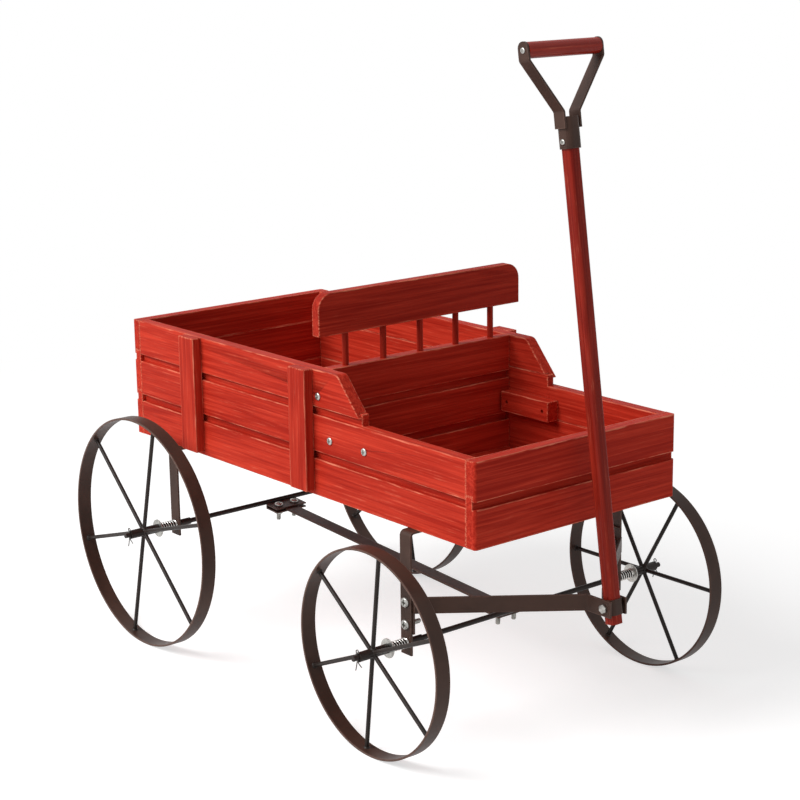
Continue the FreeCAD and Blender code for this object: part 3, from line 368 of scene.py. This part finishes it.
def to_mesh(name, shape, crease=math.radians(40), flat=()):
    """The mesh of a shape, smooth but for its sharp edges and its flat faces."""
    for face in shape.faces:
        face.smooth = face not in flat
    mesh = bpy.data.meshes.new(name)
    shape.to_mesh(mesh)
    shape.free()
    mesh.set_sharp_from_angle(angle=crease)
    return mesh


def merged_copy(node):
    """A copy of a CAD node with its loose triangles joined and its flat faces whole."""
    shape = bmesh.new()
    shape.from_mesh(frame["nodes"][node].data)
    for layer in list(shape.loops.layers.uv):
        shape.loops.layers.uv.remove(layer)
    bmesh.ops.remove_doubles(shape, verts=shape.verts, dist=0.001 * MM)
    bmesh.ops.dissolve_limit(shape, angle_limit=math.radians(0.4), verts=shape.verts, edges=shape.edges)
    return shape


def away_from(points, starts, ends):
    """Each point's distance to the nearest of the straight lines."""
    nearest = np.full(len(points), 1.0)
    for start, end in zip(starts, ends):
        line = end - start
        share = np.clip((points - start) @ line / (line @ line), 0, 1)
        nearest = np.minimum(nearest, np.linalg.norm(points - start - share[:, None] * line, axis=1))
    return nearest


def facet(face):
    """True for one of the narrow faces that make up a rounded surface."""
    least, most = FACET_TURN
    for edge in face.edges:
        for other in edge.link_faces:
            if other != face and least < face.normal.angle(other.normal) < most:
                if other.calc_area() > 0.5 * face.calc_area():
                    return True
    return False


def plane_of(face):
    """A face's direction, and how far out it lies that way."""
    return face.normal.copy(), face.normal.dot(face.verts[0].co)


def lies_on(face, plane):
    normal, depth = plane
    return face.normal.dot(normal) > ONE_WAY and abs(normal.dot(face.verts[0].co) - depth) < IN_PLANE


def soften(node, finish, rounding, reach, shortest=0.7 * MM):
    """A CAD piece with rounded edges, which knows how near an edge each of its points is."""
    shape = merged_copy(node)
    worn_and_highlit = [edge for edge in shape.edges if len(edge.link_faces) == 2 and edge.is_convex
            and edge.calc_face_angle() > CORNER and edge.calc_length() > shortest]
    starts = [np.array(edge.verts[0].co) for edge in worn_and_highlit]
    ends = [np.array(edge.verts[1].co) for edge in worn_and_highlit]
    wide = [face for face in shape.faces if face.calc_area() > WIDE_FACE]
    facets = {face for face in wide if facet(face)}
    flats = [plane_of(face) for face in wide if face not in facets]
    cuts = {}
    for face in wide:
        if len(facets) < MANY_FACETS or face not in facets:
            normal, depth = plane_of(face)
            cuts[tuple(round(part, 2) for part in normal) + (round(depth, 4),)] = (normal, depth)
    bmesh.ops.bevel(shape, geom=worn_and_highlit, offset=rounding, offset_type="OFFSET", affect="EDGES", segments=2,
                    profile=0.5, clamp_overlap=True, material=-1)
    for normal, depth in cuts.values():
        for inwards in (0.4 * reach, reach):
            bmesh.ops.bisect_plane(shape, geom=[*shape.verts, *shape.edges, *shape.faces],
                                   plane_co=normal * (depth - inwards), plane_no=normal)
    flat = {face for face in shape.faces
            if face.calc_area() > FLAT_FACE and any(lies_on(face, plane) for plane in flats)}
    mesh = to_mesh(node, shape, flat=flat)
    points = np.array([vertex.co for vertex in mesh.vertices])
    near = np.clip(1 - (away_from(points, starts, ends) - rounding) / reach, 0, 1)
    mesh.attributes.new("worn_and_highlit", "FLOAT", "POINT").data.foreach_set("value", near.astype(np.float32))
    hang(f"{node}_finished", mesh, finish, node)


def recoat(node, finish):
    """A CAD piece keeps its shape and gets its finish."""
    piece = frame["nodes"][node]
    for slot in piece.material_slots:
        slot.material = finish_of(finish)
    if not piece.material_slots:
        piece.data.materials.append(finish_of(finish))


def islands(node):
    """The points of each separate solid in a CAD node."""
    shape = merged_copy(node)
    left = set(shape.verts)
    found = []
    while left:
        ready = [left.pop()]
        island = []
        while ready:
            vertex = ready.pop()
            island.append(np.array(vertex.co))
            for edge in vertex.link_edges:
                other = edge.other_vert(vertex)
                if other in left:
                    left.remove(other)
                    ready.append(other)
        found.append(np.array(island))
    shape.free()
    return found


def upright_on(axis):
    """The turn that stands Z along an axis."""
    return axis.to_track_quat("Z", "Y").to_matrix().to_4x4()


class Fastener:
    """A bolt or a screw of a CAD node: its sizes, and its place with Z out of the head."""

    def __init__(self, points):
        axis = np.linalg.svd(points - points.mean(0))[2][0]
        along = points @ axis
        out = np.linalg.norm(points - points.mean(0) - (along - along.mean())[:, None] * axis, axis=1)
        head = out > 0.75 * out.max()  # the head is the widest part
        if along[head].mean() < along.mean():
            axis, along = -axis, -along
        middle = points[head].mean(0)
        out = np.linalg.norm(points - middle - (along - middle @ axis)[:, None] * axis, axis=1)
        seat = along[head].min()
        self.head_radius = out.max()
        self.head_height = along.max() - seat
        self.radius = out[along < seat - 0.1 * MM].max()
        self.length = seat - along.min()
        spot = Vector(middle + axis * (seat - middle @ axis))
        self.place = Matrix.Translation(spot) @ upright_on(Vector(axis))


def fasteners(node):
    return [Fastener(points) for points in islands(node)]


def ring_of(shape, outline, steps=24):
    """Turns an outline of (radius, height) about Z."""
    rows = [shape.verts.new((radius, 0, height)) for radius, height in outline]
    edges = [shape.edges.new(pair) for pair in zip(rows, rows[1:])]
    bmesh.ops.spin(shape, geom=[*rows, *edges], cent=(0, 0, 0), axis=(0, 0, 1), angle=math.tau, steps=steps,
                   use_merge=True)


def open_loop(shape, height):
    """The open edges at a height."""
    return [edge for edge in shape.edges if edge.is_boundary
            and all(abs(vertex.co.z - height) < LEVEL for vertex in edge.verts)]


def verts_of(items):
    return [item for item in items if isinstance(item, bmesh.types.BMVert)]


def edges_of(items):
    return [item for item in items if isinstance(item, bmesh.types.BMEdge)]


THREAD_STEPS = 14  # in a turn
ROOT = 0.84  # of a thread, as a share of its crest
CORE = 0.85  # a little more than the root, so that no gap shows
CROSS_WIDTH = 0.32  # half the width of an arm of the recess, as a share of the arm's reach
CROSS_DEPTH = 0.8  # as a share of the head
CROSS_TAPER = 0.72  # the foot of the recess, as a share of its mouth
HEAD_CHAMFER = 0.09  # as a share of the hexagon's reach
NUT_CHAMFER = 0.1
WIRE_CREASE = math.radians(60)


def thread(shape, root, crest, pitch, low, high):
    """A screw thread on the outside of a rod, from one height to another."""
    turns = max(1, round((high - low) / pitch) - 1)
    profile = [(root, low), (crest, low + 0.42 * pitch), (crest, low + 0.58 * pitch), (root, low + pitch)]
    rows = [shape.verts.new((radius, 0, height)) for radius, height in profile]
    edges = [shape.edges.new(pair) for pair in zip(rows, rows[1:])]
    bmesh.ops.spin(shape, geom=[*rows, *edges], cent=(0, 0, 0), axis=(0, 0, 1),
                   dvec=(0, 0, pitch / THREAD_STEPS), angle=math.tau * turns, steps=THREAD_STEPS * turns)
    bmesh.ops.remove_doubles(shape, verts=shape.verts, dist=0.002 * MM)


def cross_head(radius, height, recess):
    """A pan head on Z = 0 with a cross recess in its top."""
    shape = bmesh.new()
    side = [(0.98, 0), (1, 0.12), (1, 0.45), (0.95, 0.7), (0.83, 0.9), (0.62, 1)]
    ring_of(shape, [(radius * out, height * up) for out, up in side])
    bmesh.ops.edgeloop_fill(shape, edges=open_loop(shape, 0))
    rim = open_loop(shape, height)
    long = radius * recess
    wide = long * CROSS_WIDTH
    corners = [(wide, wide), (long, wide), (long, -wide), (wide, -wide), (wide, -long), (-wide, -long),
               (-wide, -wide), (-long, -wide), (-long, wide), (-wide, wide), (-wide, long), (wide, long)]
    verts = [shape.verts.new((x, y, height)) for x, y in corners]
    cross = [shape.edges.new((a, b)) for a, b in zip(verts, verts[1:] + verts[:1])]
    bmesh.ops.triangle_fill(shape, use_beauty=True, edges=rim + cross, normal=(0, 0, 1))
    sunk = bmesh.ops.extrude_edge_only(shape, edges=cross)["geom"]
    bmesh.ops.scale(shape, vec=(CROSS_TAPER, CROSS_TAPER, 1), verts=verts_of(sunk))
    bmesh.ops.translate(shape, vec=(0, 0, -CROSS_DEPTH * height), verts=verts_of(sunk))
    bmesh.ops.edgeloop_fill(shape, edges=[edge for edge in edges_of(sunk) if edge.is_boundary])
    bmesh.ops.recalc_face_normals(shape, faces=shape.faces)
    return shape


def hexagon_head(flats, height, chamfer, hole=0.0):
    """A hexagon on Z = 0 with chamfered corners, and a countersunk ring where a bolt comes through."""
    shape = bmesh.new()
    bmesh.ops.create_circle(shape, cap_ends=True, segments=6, radius=flats / math.sqrt(3))
    raised = bmesh.ops.extrude_face_region(shape, geom=list(shape.faces))["geom"]
    bmesh.ops.translate(shape, vec=(0, 0, height), verts=verts_of(raised))
    rims = [edge for edge in shape.edges if abs(edge.verts[0].co.z - edge.verts[1].co.z) < LEVEL]
    bmesh.ops.bevel(shape, geom=rims, offset=chamfer, offset_type="OFFSET", affect="EDGES", segments=2,
                    profile=0.5, material=-1)
    if hole:
        for face in [face for face in shape.faces if abs(face.normal.z) > 0.99]:
            bmesh.ops.inset_region(shape, faces=[face], thickness=flats / 2 - chamfer - hole * 1.15)
            bmesh.ops.inset_region(shape, faces=[face], thickness=hole * 0.15, depth=-0.3 * MM)
    bmesh.ops.recalc_face_normals(shape, faces=shape.faces)
    return shape


def join(whole, part, spot):
    """Adds a shape to another at a place."""
    mesh = bpy.data.meshes.new("part")
    bmesh.ops.transform(part, matrix=spot, verts=part.verts)
    part.to_mesh(mesh)
    part.free()
    whole.from_mesh(mesh)
    bpy.data.meshes.remove(mesh)


def shank(length, radius, pitch, tip=0.0):
    """A threaded rod below Z = 0 with a closed end, pointed if it has a tip."""
    shape = bmesh.new()
    end = -length + tip
    thread(shape, radius * ROOT, radius, pitch, end + 0.1 * MM, -0.1 * MM)
    bmesh.ops.recalc_face_normals(shape, faces=shape.faces)
    core = bmesh.new()
    shoulder, point = (0.35 * tip, tip) if tip else (0.2 * MM, 0.25 * MM)
    ring_of(core, [(radius * CORE, -0.05 * MM), (radius * CORE, end), (radius * 0.6, end - shoulder),
                   (radius * 0.08, end - point)], THREAD_STEPS)
    bmesh.ops.holes_fill(core, edges=[edge for edge in core.edges if edge.is_boundary])
    bmesh.ops.recalc_face_normals(core, faces=core.faces)
    join(shape, core, Matrix())
    return shape


# ---------------------------------------------------------------- operators


LEVELS = ("bottom", "middle", "top")
SIDES = ("right", "left")
ENDS = ("rear", "front")
BOARD_WEAR = 1.8 * MM  # how far in from its edges a piece is rubbed
# How far in from its edges the steel is worn and carries a painted highlight.
STEEL_WEAR_AND_HIGHLIGHT = 1.2 * MM
SCREW_PITCH = 1.2 * MM
SCREW_TIP = 4 * MM
PIVOT_PITCH = 0.7 * MM


def coat_wood(nodes, finish):
    for node in nodes:
        soften(node, finish, bpy.context.scene.cart_wood.rounding, BOARD_WEAR)


def coat_steel(nodes):
    for node in nodes:
        soften(node, "lacquer", bpy.context.scene.cart_steel.rounding, STEEL_WEAR_AND_HIGHLIGHT)


class CART_OT_side_boards(bpy.types.Operator):
    """Long boards of both sides and the floor, and the cleats, with grain along the cart"""
    bl_idname = "cart.side_boards"
    bl_label = "Side and floor boards"

    def execute(self, context):
        coat_wood([f"{side}_plank_{level}" for side in SIDES for level in LEVELS], "wood_long")
        coat_wood([f"{end}_floor_boards" for end in ENDS], "wood_long")
        coat_wood([f"{side}_cleat" for side in SIDES], "wood_long")
        return {"FINISHED"}


class CART_OT_end_boards(bpy.types.Operator):
    """Boards across the cart at both ends and between the two boxes"""
    bl_idname = "cart.end_boards"
    bl_label = "End boards and partition"

    def execute(self, context):
        coat_wood(["front_plank_bottom", "front_plank_top"], "wood_cross")
        coat_wood([f"rear_plank_{level}" for level in LEVELS], "wood_cross")
        coat_wood([f"partition_{level}" for level in LEVELS], "wood_cross")
        return {"FINISHED"}


class CART_OT_battens(bpy.types.Operator):
    """Upright battens outside the rear box"""
    bl_idname = "cart.battens"
    bl_label = "Battens"

    def execute(self, context):
        coat_wood([f"{side}_batten_{end}" for side in SIDES for end in ENDS], "wood_upright")
        return {"FINISHED"}


class CART_OT_seat_back(bpy.types.Operator):
    """Seat rail and the round spindles that carry it"""
    bl_idname = "cart.seat_back"
    bl_label = "Seat rail and spindles"

    def execute(self, context):
        coat_wood(["seat_rail"], "wood_rail")
        recoat("spindles", "wood_spindle")
        return {"FINISHED"}


class CART_OT_frame_steel(bpy.types.Operator):
    """Bent flat steel of the legs, the centre bar, the clamps and the tongue"""
    bl_idname = "cart.frame_steel"
    bl_label = "Flat steel of the frame"

    def execute(self, context):
        coat_steel([f"{end}_leg_frame" for end in ENDS])
        coat_steel(["centre_bar"])
        coat_steel([f"{end}_axle_clamp" for end in ENDS])
        coat_steel([f"{side}_tongue_strap" for side in SIDES])
        return {"FINISHED"}


class CART_OT_axles(bpy.types.Operator):
    """Axle rods and the short tubes that carry them in the legs"""
    bl_idname = "cart.axles"
    bl_label = "Axles and bushes"

    def execute(self, context):
        for node in ("rear_axle", "front_axle", "axle_bushes"):
            recoat(node, "rod_lacquer")
        return {"FINISHED"}


SPOKES = 6
# The outline of a weld, in mm out from the spoke's axis and along it
BEAD = [(3.3, -0.3), (3.1, 0.2), (2.6, 0.7), (2.2, 1.1), (1.9, 1.3)]


def points_of(node):
    return np.array([vertex.co for vertex in frame["nodes"][node].data.vertices])


def welds(wheel):
    """A bead of weld round each end of each spoke of a wheel."""
    points, rim = points_of(f"{wheel}_spokes"), points_of(f"{wheel}_rim")
    low, high = points.min(0), points.max(0)
    middle = (rim.min(0) + rim.max(0)) / 2
    reach = np.hypot(points[:, 0] - middle[0], points[:, 2] - middle[2])
    hub = reach[(points[:, 1] < low[1] + MM) | (points[:, 1] > high[1] - MM)].max()
    tips = points[reach > reach.max() - 0.3 * MM] - middle
    phase = np.angle(np.exp(SPOKES * 1j * np.arctan2(tips[:, 2], tips[:, 0])).mean()) / SPOKES
    whole = bmesh.new()
    for number in range(SPOKES):
        turn = phase + number * math.tau / SPOKES
        out = Vector((math.cos(turn), 0, math.sin(turn)))
        for distance, up in ((hub - 0.5 * MM, out), (reach.max(), -out)):
            bead = bmesh.new()
            ring_of(bead, [(radius * MM, height * MM) for radius, height in BEAD], 14)
            join(whole, bead, Matrix.Translation(Vector(middle) + out * distance) @ upright_on(up))
    bmesh.ops.recalc_face_normals(whole, faces=whole.faces)
    name = f"{wheel}_welds"
    hang(name, to_mesh(name, whole, WIRE_CREASE), "rod_lacquer", f"{wheel}_spokes", extra=True)


class CART_OT_wheels(bpy.types.Operator):
    """Rim bands, and the hubs with their welded spokes"""
    bl_idname = "cart.wheels"
    bl_label = "Wheels"

    def execute(self, context):
        for wheel in [f"{end}_{side}" for end in ENDS for side in SIDES]:
            coat_steel([f"{wheel}_rim"])
            recoat(f"{wheel}_spokes", "rod_lacquer")
            welds(wheel)
        return {"FINISHED"}


COIL_STEPS = 24  # in a turn


def loop_of(circle):
    """The edges of a circle that was just made."""
    return list({edge for vertex in circle["verts"] for edge in vertex.link_edges})


def closed_spring(radius, length, wire, open_turns):
    """A coil up from Z = 0, with a closed turn at both ends."""
    coil = bmesh.new()
    start = Matrix.Translation((radius, 0, wire / 2)) @ Matrix.Rotation(math.pi / 2, 4, "X")
    first = loop_of(bmesh.ops.create_circle(coil, segments=10, radius=wire / 2, matrix=start))
    last = first
    for turns, rise in ((1, wire), (open_turns, length - 3 * wire), (1, wire)):
        steps = COIL_STEPS * turns
        swept = [*{vertex for edge in last for vertex in edge.verts}, *last]
        last = edges_of(bmesh.ops.spin(coil, geom=swept, cent=(0, 0, 0), axis=(0, 0, 1),
                                       dvec=(0, 0, rise / steps), angle=math.tau * turns,
                                       steps=steps)["geom_last"])
    for end in (first, last):
        bmesh.ops.edgeloop_fill(coil, edges=end)
    bmesh.ops.recalc_face_normals(coil, faces=coil.faces)
    return coil


class CART_OT_springs(bpy.types.Operator):
    """Wire springs between the legs and the wheels, with closed ends, and their washers"""
    bl_idname = "cart.springs"
    bl_label = "Springs and washers"

    def execute(self, context):
        look = context.scene.cart_hardware
        whole = bmesh.new()
        for points in islands("axle_springs"):
            low, high = points.min(0), points.max(0)
            radius = (high[0] - low[0] - look.spring_wire) / 2
            coil = closed_spring(radius, high[1] - low[1], look.spring_wire, look.spring_turns)
            middle = Vector(((low[0] + high[0]) / 2, low[1], (low[2] + high[2]) / 2))
            join(whole, coil, Matrix.Translation(middle) @ Matrix.Rotation(-math.pi / 2, 4, "X"))
        name = "axle_springs_wire"
        hang(name, to_mesh(name, whole, WIRE_CREASE), "bright_steel", "axle_springs")
        soften("hub_washers", "zinc", rounding=0.2 * MM, reach=0.8 * MM)
        return {"FINISHED"}


# A split pin's wire in mm, in its own plane and from the top of its eye
PIN_EYE = 1.6
PIN_EYE_BELOW = 2.1
PIN_OPENING = 35  # degrees that the eye is open, each way from its bottom
PIN_SHORT_LEG = [(6.0, -15.1), (2.4, -12.9), (1.2, -11.9), (0.5, -10.9), (0.2, -10.1), (0.2, -4.1)]
PIN_LONG_LEG = [(-0.2, -4.1), (-0.2, -10.1), (-0.3, -11.1), (-0.7, -12.5), (-1.6, -16.5), (-2.7, -20.0)]


def bent_wire(points, radius):
    """A round wire through points of the XZ plane."""
    shape = bmesh.new()
    side = Vector((0, 1, 0))
    loops = []
    for number, point in enumerate(points):
        along = (points[min(number + 1, len(points) - 1)] - points[max(number - 1, 0)]).normalized()
        across = Matrix((side.cross(along), side, along)).transposed().to_4x4()
        loops.append(loop_of(bmesh.ops.create_circle(shape, segments=8, radius=radius,
                                                     matrix=Matrix.Translation(point) @ across)))
    for first, second in zip(loops, loops[1:]):
        bmesh.ops.bridge_loops(shape, edges=[*first, *second])
    for end in (loops[0], loops[-1]):
        bmesh.ops.edgeloop_fill(shape, edges=end)
    bmesh.ops.recalc_face_normals(shape, faces=shape.faces)
    return shape


class CART_OT_split_pins(bpy.types.Operator):
    """Split pins through the ends of the axles, each a folded wire with its ends bent apart"""
    bl_idname = "cart.split_pins"
    bl_label = "Split pins"

    def execute(self, context):
        eye = [(PIN_EYE * math.sin(turn), -PIN_EYE_BELOW - PIN_EYE * math.cos(turn))
               for turn in np.radians(np.linspace(PIN_OPENING, 360 - PIN_OPENING, 13))]
        path = [Vector((x, 0, z)) * MM for x, z in [*PIN_SHORT_LEG, *eye, *PIN_LONG_LEG]]
        whole = bmesh.new()
        for points in islands("split_pins"):
            low, high = points.min(0), points.max(0)
            top = Vector(((low[0] + high[0]) / 2, (low[1] + high[1]) / 2, high[2]))
            join(whole, bent_wire(path, context.scene.cart_hardware.pin_wire / 2), Matrix.Translation(top))
        name = "split_pins_wire"
        hang(name, to_mesh(name, whole, WIRE_CREASE), "zinc_wire", "split_pins")
        return {"FINISHED"}


def threaded(node, head, pitch, tip=0.0):
    """Every bolt or screw of a CAD node again, with a finished head and a thread."""
    whole = bmesh.new()
    for item in fasteners(node):
        join(whole, head(item), item.place)
        join(whole, shank(item.length, item.radius, pitch, tip), item.place)
    name = f"{node}_threaded"
    hang(name, to_mesh(name, whole, math.radians(30)), "zinc", node)


def pan_head(item):
    return cross_head(item.head_radius, item.head_height, bpy.context.scene.cart_hardware.recess)


def hexagon_bolt_head(item):
    chamfer = HEAD_CHAMFER * item.head_radius
    return hexagon_head(item.head_radius * math.sqrt(3), item.head_height, chamfer)


def chamfered_nuts(node, bolts):
    """Every nut of a CAD node again, with its chamfers, on the bolt that it belongs to."""
    whole = bmesh.new()
    for points in islands(node):
        middle = Vector((points.min(0) + points.max(0)) / 2)
        bolt = min(bolts, key=lambda item: (item.place.inverted() @ middle).xy.length)
        local = np.array([bolt.place.inverted() @ Vector(point) for point in points])
        radius = np.hypot(local[:, 0], local[:, 1]).max()
        low, top = local[:, 2].min(), local[:, 2].max()
        nut = hexagon_head(radius * math.sqrt(3), top - low, NUT_CHAMFER * radius, bolt.radius)
        spot = bolt.place @ Matrix.Translation((0, 0, top)) @ Matrix.Rotation(math.pi, 4, "X")
        join(whole, nut, spot)
    name = f"{node}_chamfered"
    hang(name, to_mesh(name, whole, math.radians(25)), "zinc", node)


class CART_OT_bolts(bpy.types.Operator):
    """Pan head bolts of the frame with their threads and nuts"""
    bl_idname = "cart.bolts"
    bl_label = "Frame bolts and nuts"

    def execute(self, context):
        threaded("frame_bolts", pan_head, context.scene.cart_hardware.thread_pitch)
        chamfered_nuts("frame_nuts", fasteners("frame_bolts"))
        return {"FINISHED"}


class CART_OT_screws(bpy.types.Operator):
    """Wood screws in the sides and in the ends of the grip"""
    bl_idname = "cart.screws"
    bl_label = "Wood screws"

    def execute(self, context):
        for node in ("wood_screws", "grip_screws"):
            threaded(node, pan_head, SCREW_PITCH, SCREW_TIP)
        return {"FINISHED"}


class CART_OT_pivots(bpy.types.Operator):
    """Bolts and nuts of the pull handle, at its foot and through its sleeve"""
    bl_idname = "cart.pivots"
    bl_label = "Pivot and sleeve bolts"

    def execute(self, context):
        for name, head in (("pivot", hexagon_bolt_head), ("sleeve", pan_head)):
            threaded(f"{name}_bolt", head, PIVOT_PITCH)
            chamfered_nuts(f"{name}_nut", fasteners(f"{name}_bolt"))
        return {"FINISHED"}


class CART_OT_pull_handle(bpy.types.Operator):
    """Wooden pole and grip, and the steel that joins them"""
    bl_idname = "cart.pull_handle"
    bl_label = "Pull handle"

    def execute(self, context):
        soften("pole", "wood_pole", rounding=0.4 * MM, reach=2.0 * MM)
        soften("grip", "wood_grip", rounding=0.8 * MM, reach=2.0 * MM)
        coat_steel(["pole_collar", "handle_sleeve", "right_handle_strap", "left_handle_strap"])
        return {"FINISHED"}


def shine_rays(finish):
    """1 for what the camera sees itself, in gloss or through glass, and 0 for other light."""
    path = finish.node("LightPath")
    rays = path.socket.node.outputs
    seen = Field(finish, rays["Is Camera Ray"])
    for name in ("Is Glossy Ray", "Is Transmission Ray"):
        seen = seen.math("MAXIMUM", seen, Field(finish, rays[name]))
    return seen


FLOOR_REACH = 40  # metres, where it is as white as the sky behind it
FLOOR_GLOW = 0.625  # what the camera sees of the floor under the cart, beside the light that falls on it
FAR_FLOOR = (0.5, 1.5)  # metres from the cart, where the floor turns into plain white
WHITE = (1, 1, 1, 1)
LAMP_AIM = Vector((0, 0, 0.25))
# Name, degrees round and up, metres away and across
LAMPS = [("key_lamp", -16, 40, 3.2, 2.0), ("fill_lamp", 78, 30, 3.4, 2.4)]
CAMERA_AIM = Vector((0.01278, 0, 0.26378))
CAMERA_TURN, CAMERA_LIFT, CAMERA_ROLL = (math.radians(angle) for angle in (50.761, 13.958, -0.774))


def out_at(turn, lift):
    """The direction out from the cart, turned from its right side towards its front, and up."""
    return Vector((math.sin(turn) * math.cos(lift), -math.cos(turn) * math.cos(lift), math.sin(lift)))


def placed(name, data, spot):
    """A new thing in the scene at a place."""
    thing = bpy.data.objects.new(name, data)
    bpy.context.scene.collection.objects.link(thing)
    thing.matrix_world = spot
    return thing


def pale_floor(colour):
    """Plain white far off, and nearly so under the cart, where its shadow is fainter to the camera."""
    finish = Finish(bpy.data.materials.new("pale_floor"))
    paint = finish.node("BsdfDiffuse", {}, {"Color": (*colour, 1)})
    dimmed = finish.node("BsdfDiffuse", {}, {"Color": (*shaded(colour, 0.7), 1)})
    glow = finish.node("Emission", {}, {"Color": WHITE, "Strength": FLOOR_GLOW})
    near = finish.node("AddShader", {}, {0: dimmed, 1: glow})
    white = finish.node("Emission", {}, {"Color": WHITE, "Strength": 1.0})
    place = finish.node("TexCoord", output="Object")
    away = finish.node("VectorMath", {"operation": "LENGTH"}, {0: place}, output="Value")
    seen = finish.node("MixShader", {}, {0: away.above(*FAR_FLOOR), 1: near, 2: white})
    shown = finish.node("MixShader", {}, {0: shine_rays(finish), 1: paint, 2: seen})
    finish.node("OutputMaterial", {}, {"Surface": shown})
    return finish.owner


def studio(strength):
    """Even light from all round, and plain white where it is seen."""
    sky = Finish(bpy.data.worlds.new("studio"))
    shown = strength + shine_rays(sky) * (1 - strength)
    light = sky.node("Background", {}, {"Color": WHITE, "Strength": shown})
    sky.node("OutputWorld", {}, {"Surface": light})
    return sky.owner


class CART_OT_stage(bpy.types.Operator):
    """Pale floor, soft lamps and the camera"""
    bl_idname = "cart.stage"
    bl_label = "Stage"

    def execute(self, context):
        scene = context.scene
        look = scene.cart_stage
        scene.view_settings.view_transform = "Standard"

        shape = bmesh.new()
        bmesh.ops.create_circle(shape, cap_ends=True, segments=96, radius=FLOOR_REACH)
        mesh = bpy.data.meshes.new("floor")
        shape.to_mesh(mesh)
        shape.free()
        mesh.materials.append(pale_floor(look.floor))
        placed("floor", mesh, Matrix())
        scene.world = studio(look.sky)

        for (name, azimuth, height, away, across), power in zip(LAMPS, (look.key, look.fill)):
            lamp = bpy.data.lights.new(name, "AREA")
            lamp.shape = "DISK"
            lamp.size = across
            lamp.energy = power
            out = out_at(math.radians(azimuth), math.radians(height))
            placed(name, lamp, Matrix.Translation(LAMP_AIM + out * away) @ upright_on(out))

        back = out_at(CAMERA_TURN, CAMERA_LIFT)
        right = back.cross(Vector((0, 0, -1))).normalized()
        level = Matrix((right, back.cross(right), back)).transposed()
        held = (level @ Matrix.Rotation(CAMERA_ROLL, 3, "Z")).to_4x4()
        lens = bpy.data.cameras.new("camera")
        lens.lens = look.lens
        lens.sensor_width = 36
        lens.clip_start = 0.05
        scene.camera = placed("camera", lens, Matrix.Translation(CAMERA_AIM + back * look.distance) @ held)
        return {"FINISHED"}


OPERATORS = (CART_OT_stage, CART_OT_side_boards, CART_OT_end_boards, CART_OT_battens, CART_OT_seat_back,
             CART_OT_frame_steel, CART_OT_axles, CART_OT_wheels, CART_OT_springs, CART_OT_split_pins,
             CART_OT_bolts, CART_OT_screws, CART_OT_pivots, CART_OT_pull_handle)


class CART_PT_finish(bpy.types.Panel):
    """Sizes, colours and steps of the cart's finish"""
    bl_idname = "CART_PT_finish"
    bl_label = "Flower Cart"
    bl_space_type = "VIEW_3D"
    bl_region_type = "UI"
    bl_category = "Cart"

    def draw(self, context):
        for name, group in SETTINGS.items():
            box = self.layout.box()
            for field in group.__annotations__:
                box.prop(getattr(context.scene, name), field)
        for operator in OPERATORS:
            self.layout.operator(operator.bl_idname)


CLASSES = (*SETTINGS.values(), *OPERATORS, CART_PT_finish)


def register():
    for cls in CLASSES:
        bpy.utils.register_class(cls)
    for name, group in SETTINGS.items():
        setattr(bpy.types.Scene, name, PointerProperty(type=group))


def unregister():
    for name in SETTINGS:
        delattr(bpy.types.Scene, name)
    for cls in reversed(CLASSES):
        bpy.utils.unregister_class(cls)


def main():
    register()
    for operator in OPERATORS:
        group, name = operator.bl_idname.split(".")
        getattr(getattr(bpy.ops, group), name)()


if __name__ == "__main__":
    main()
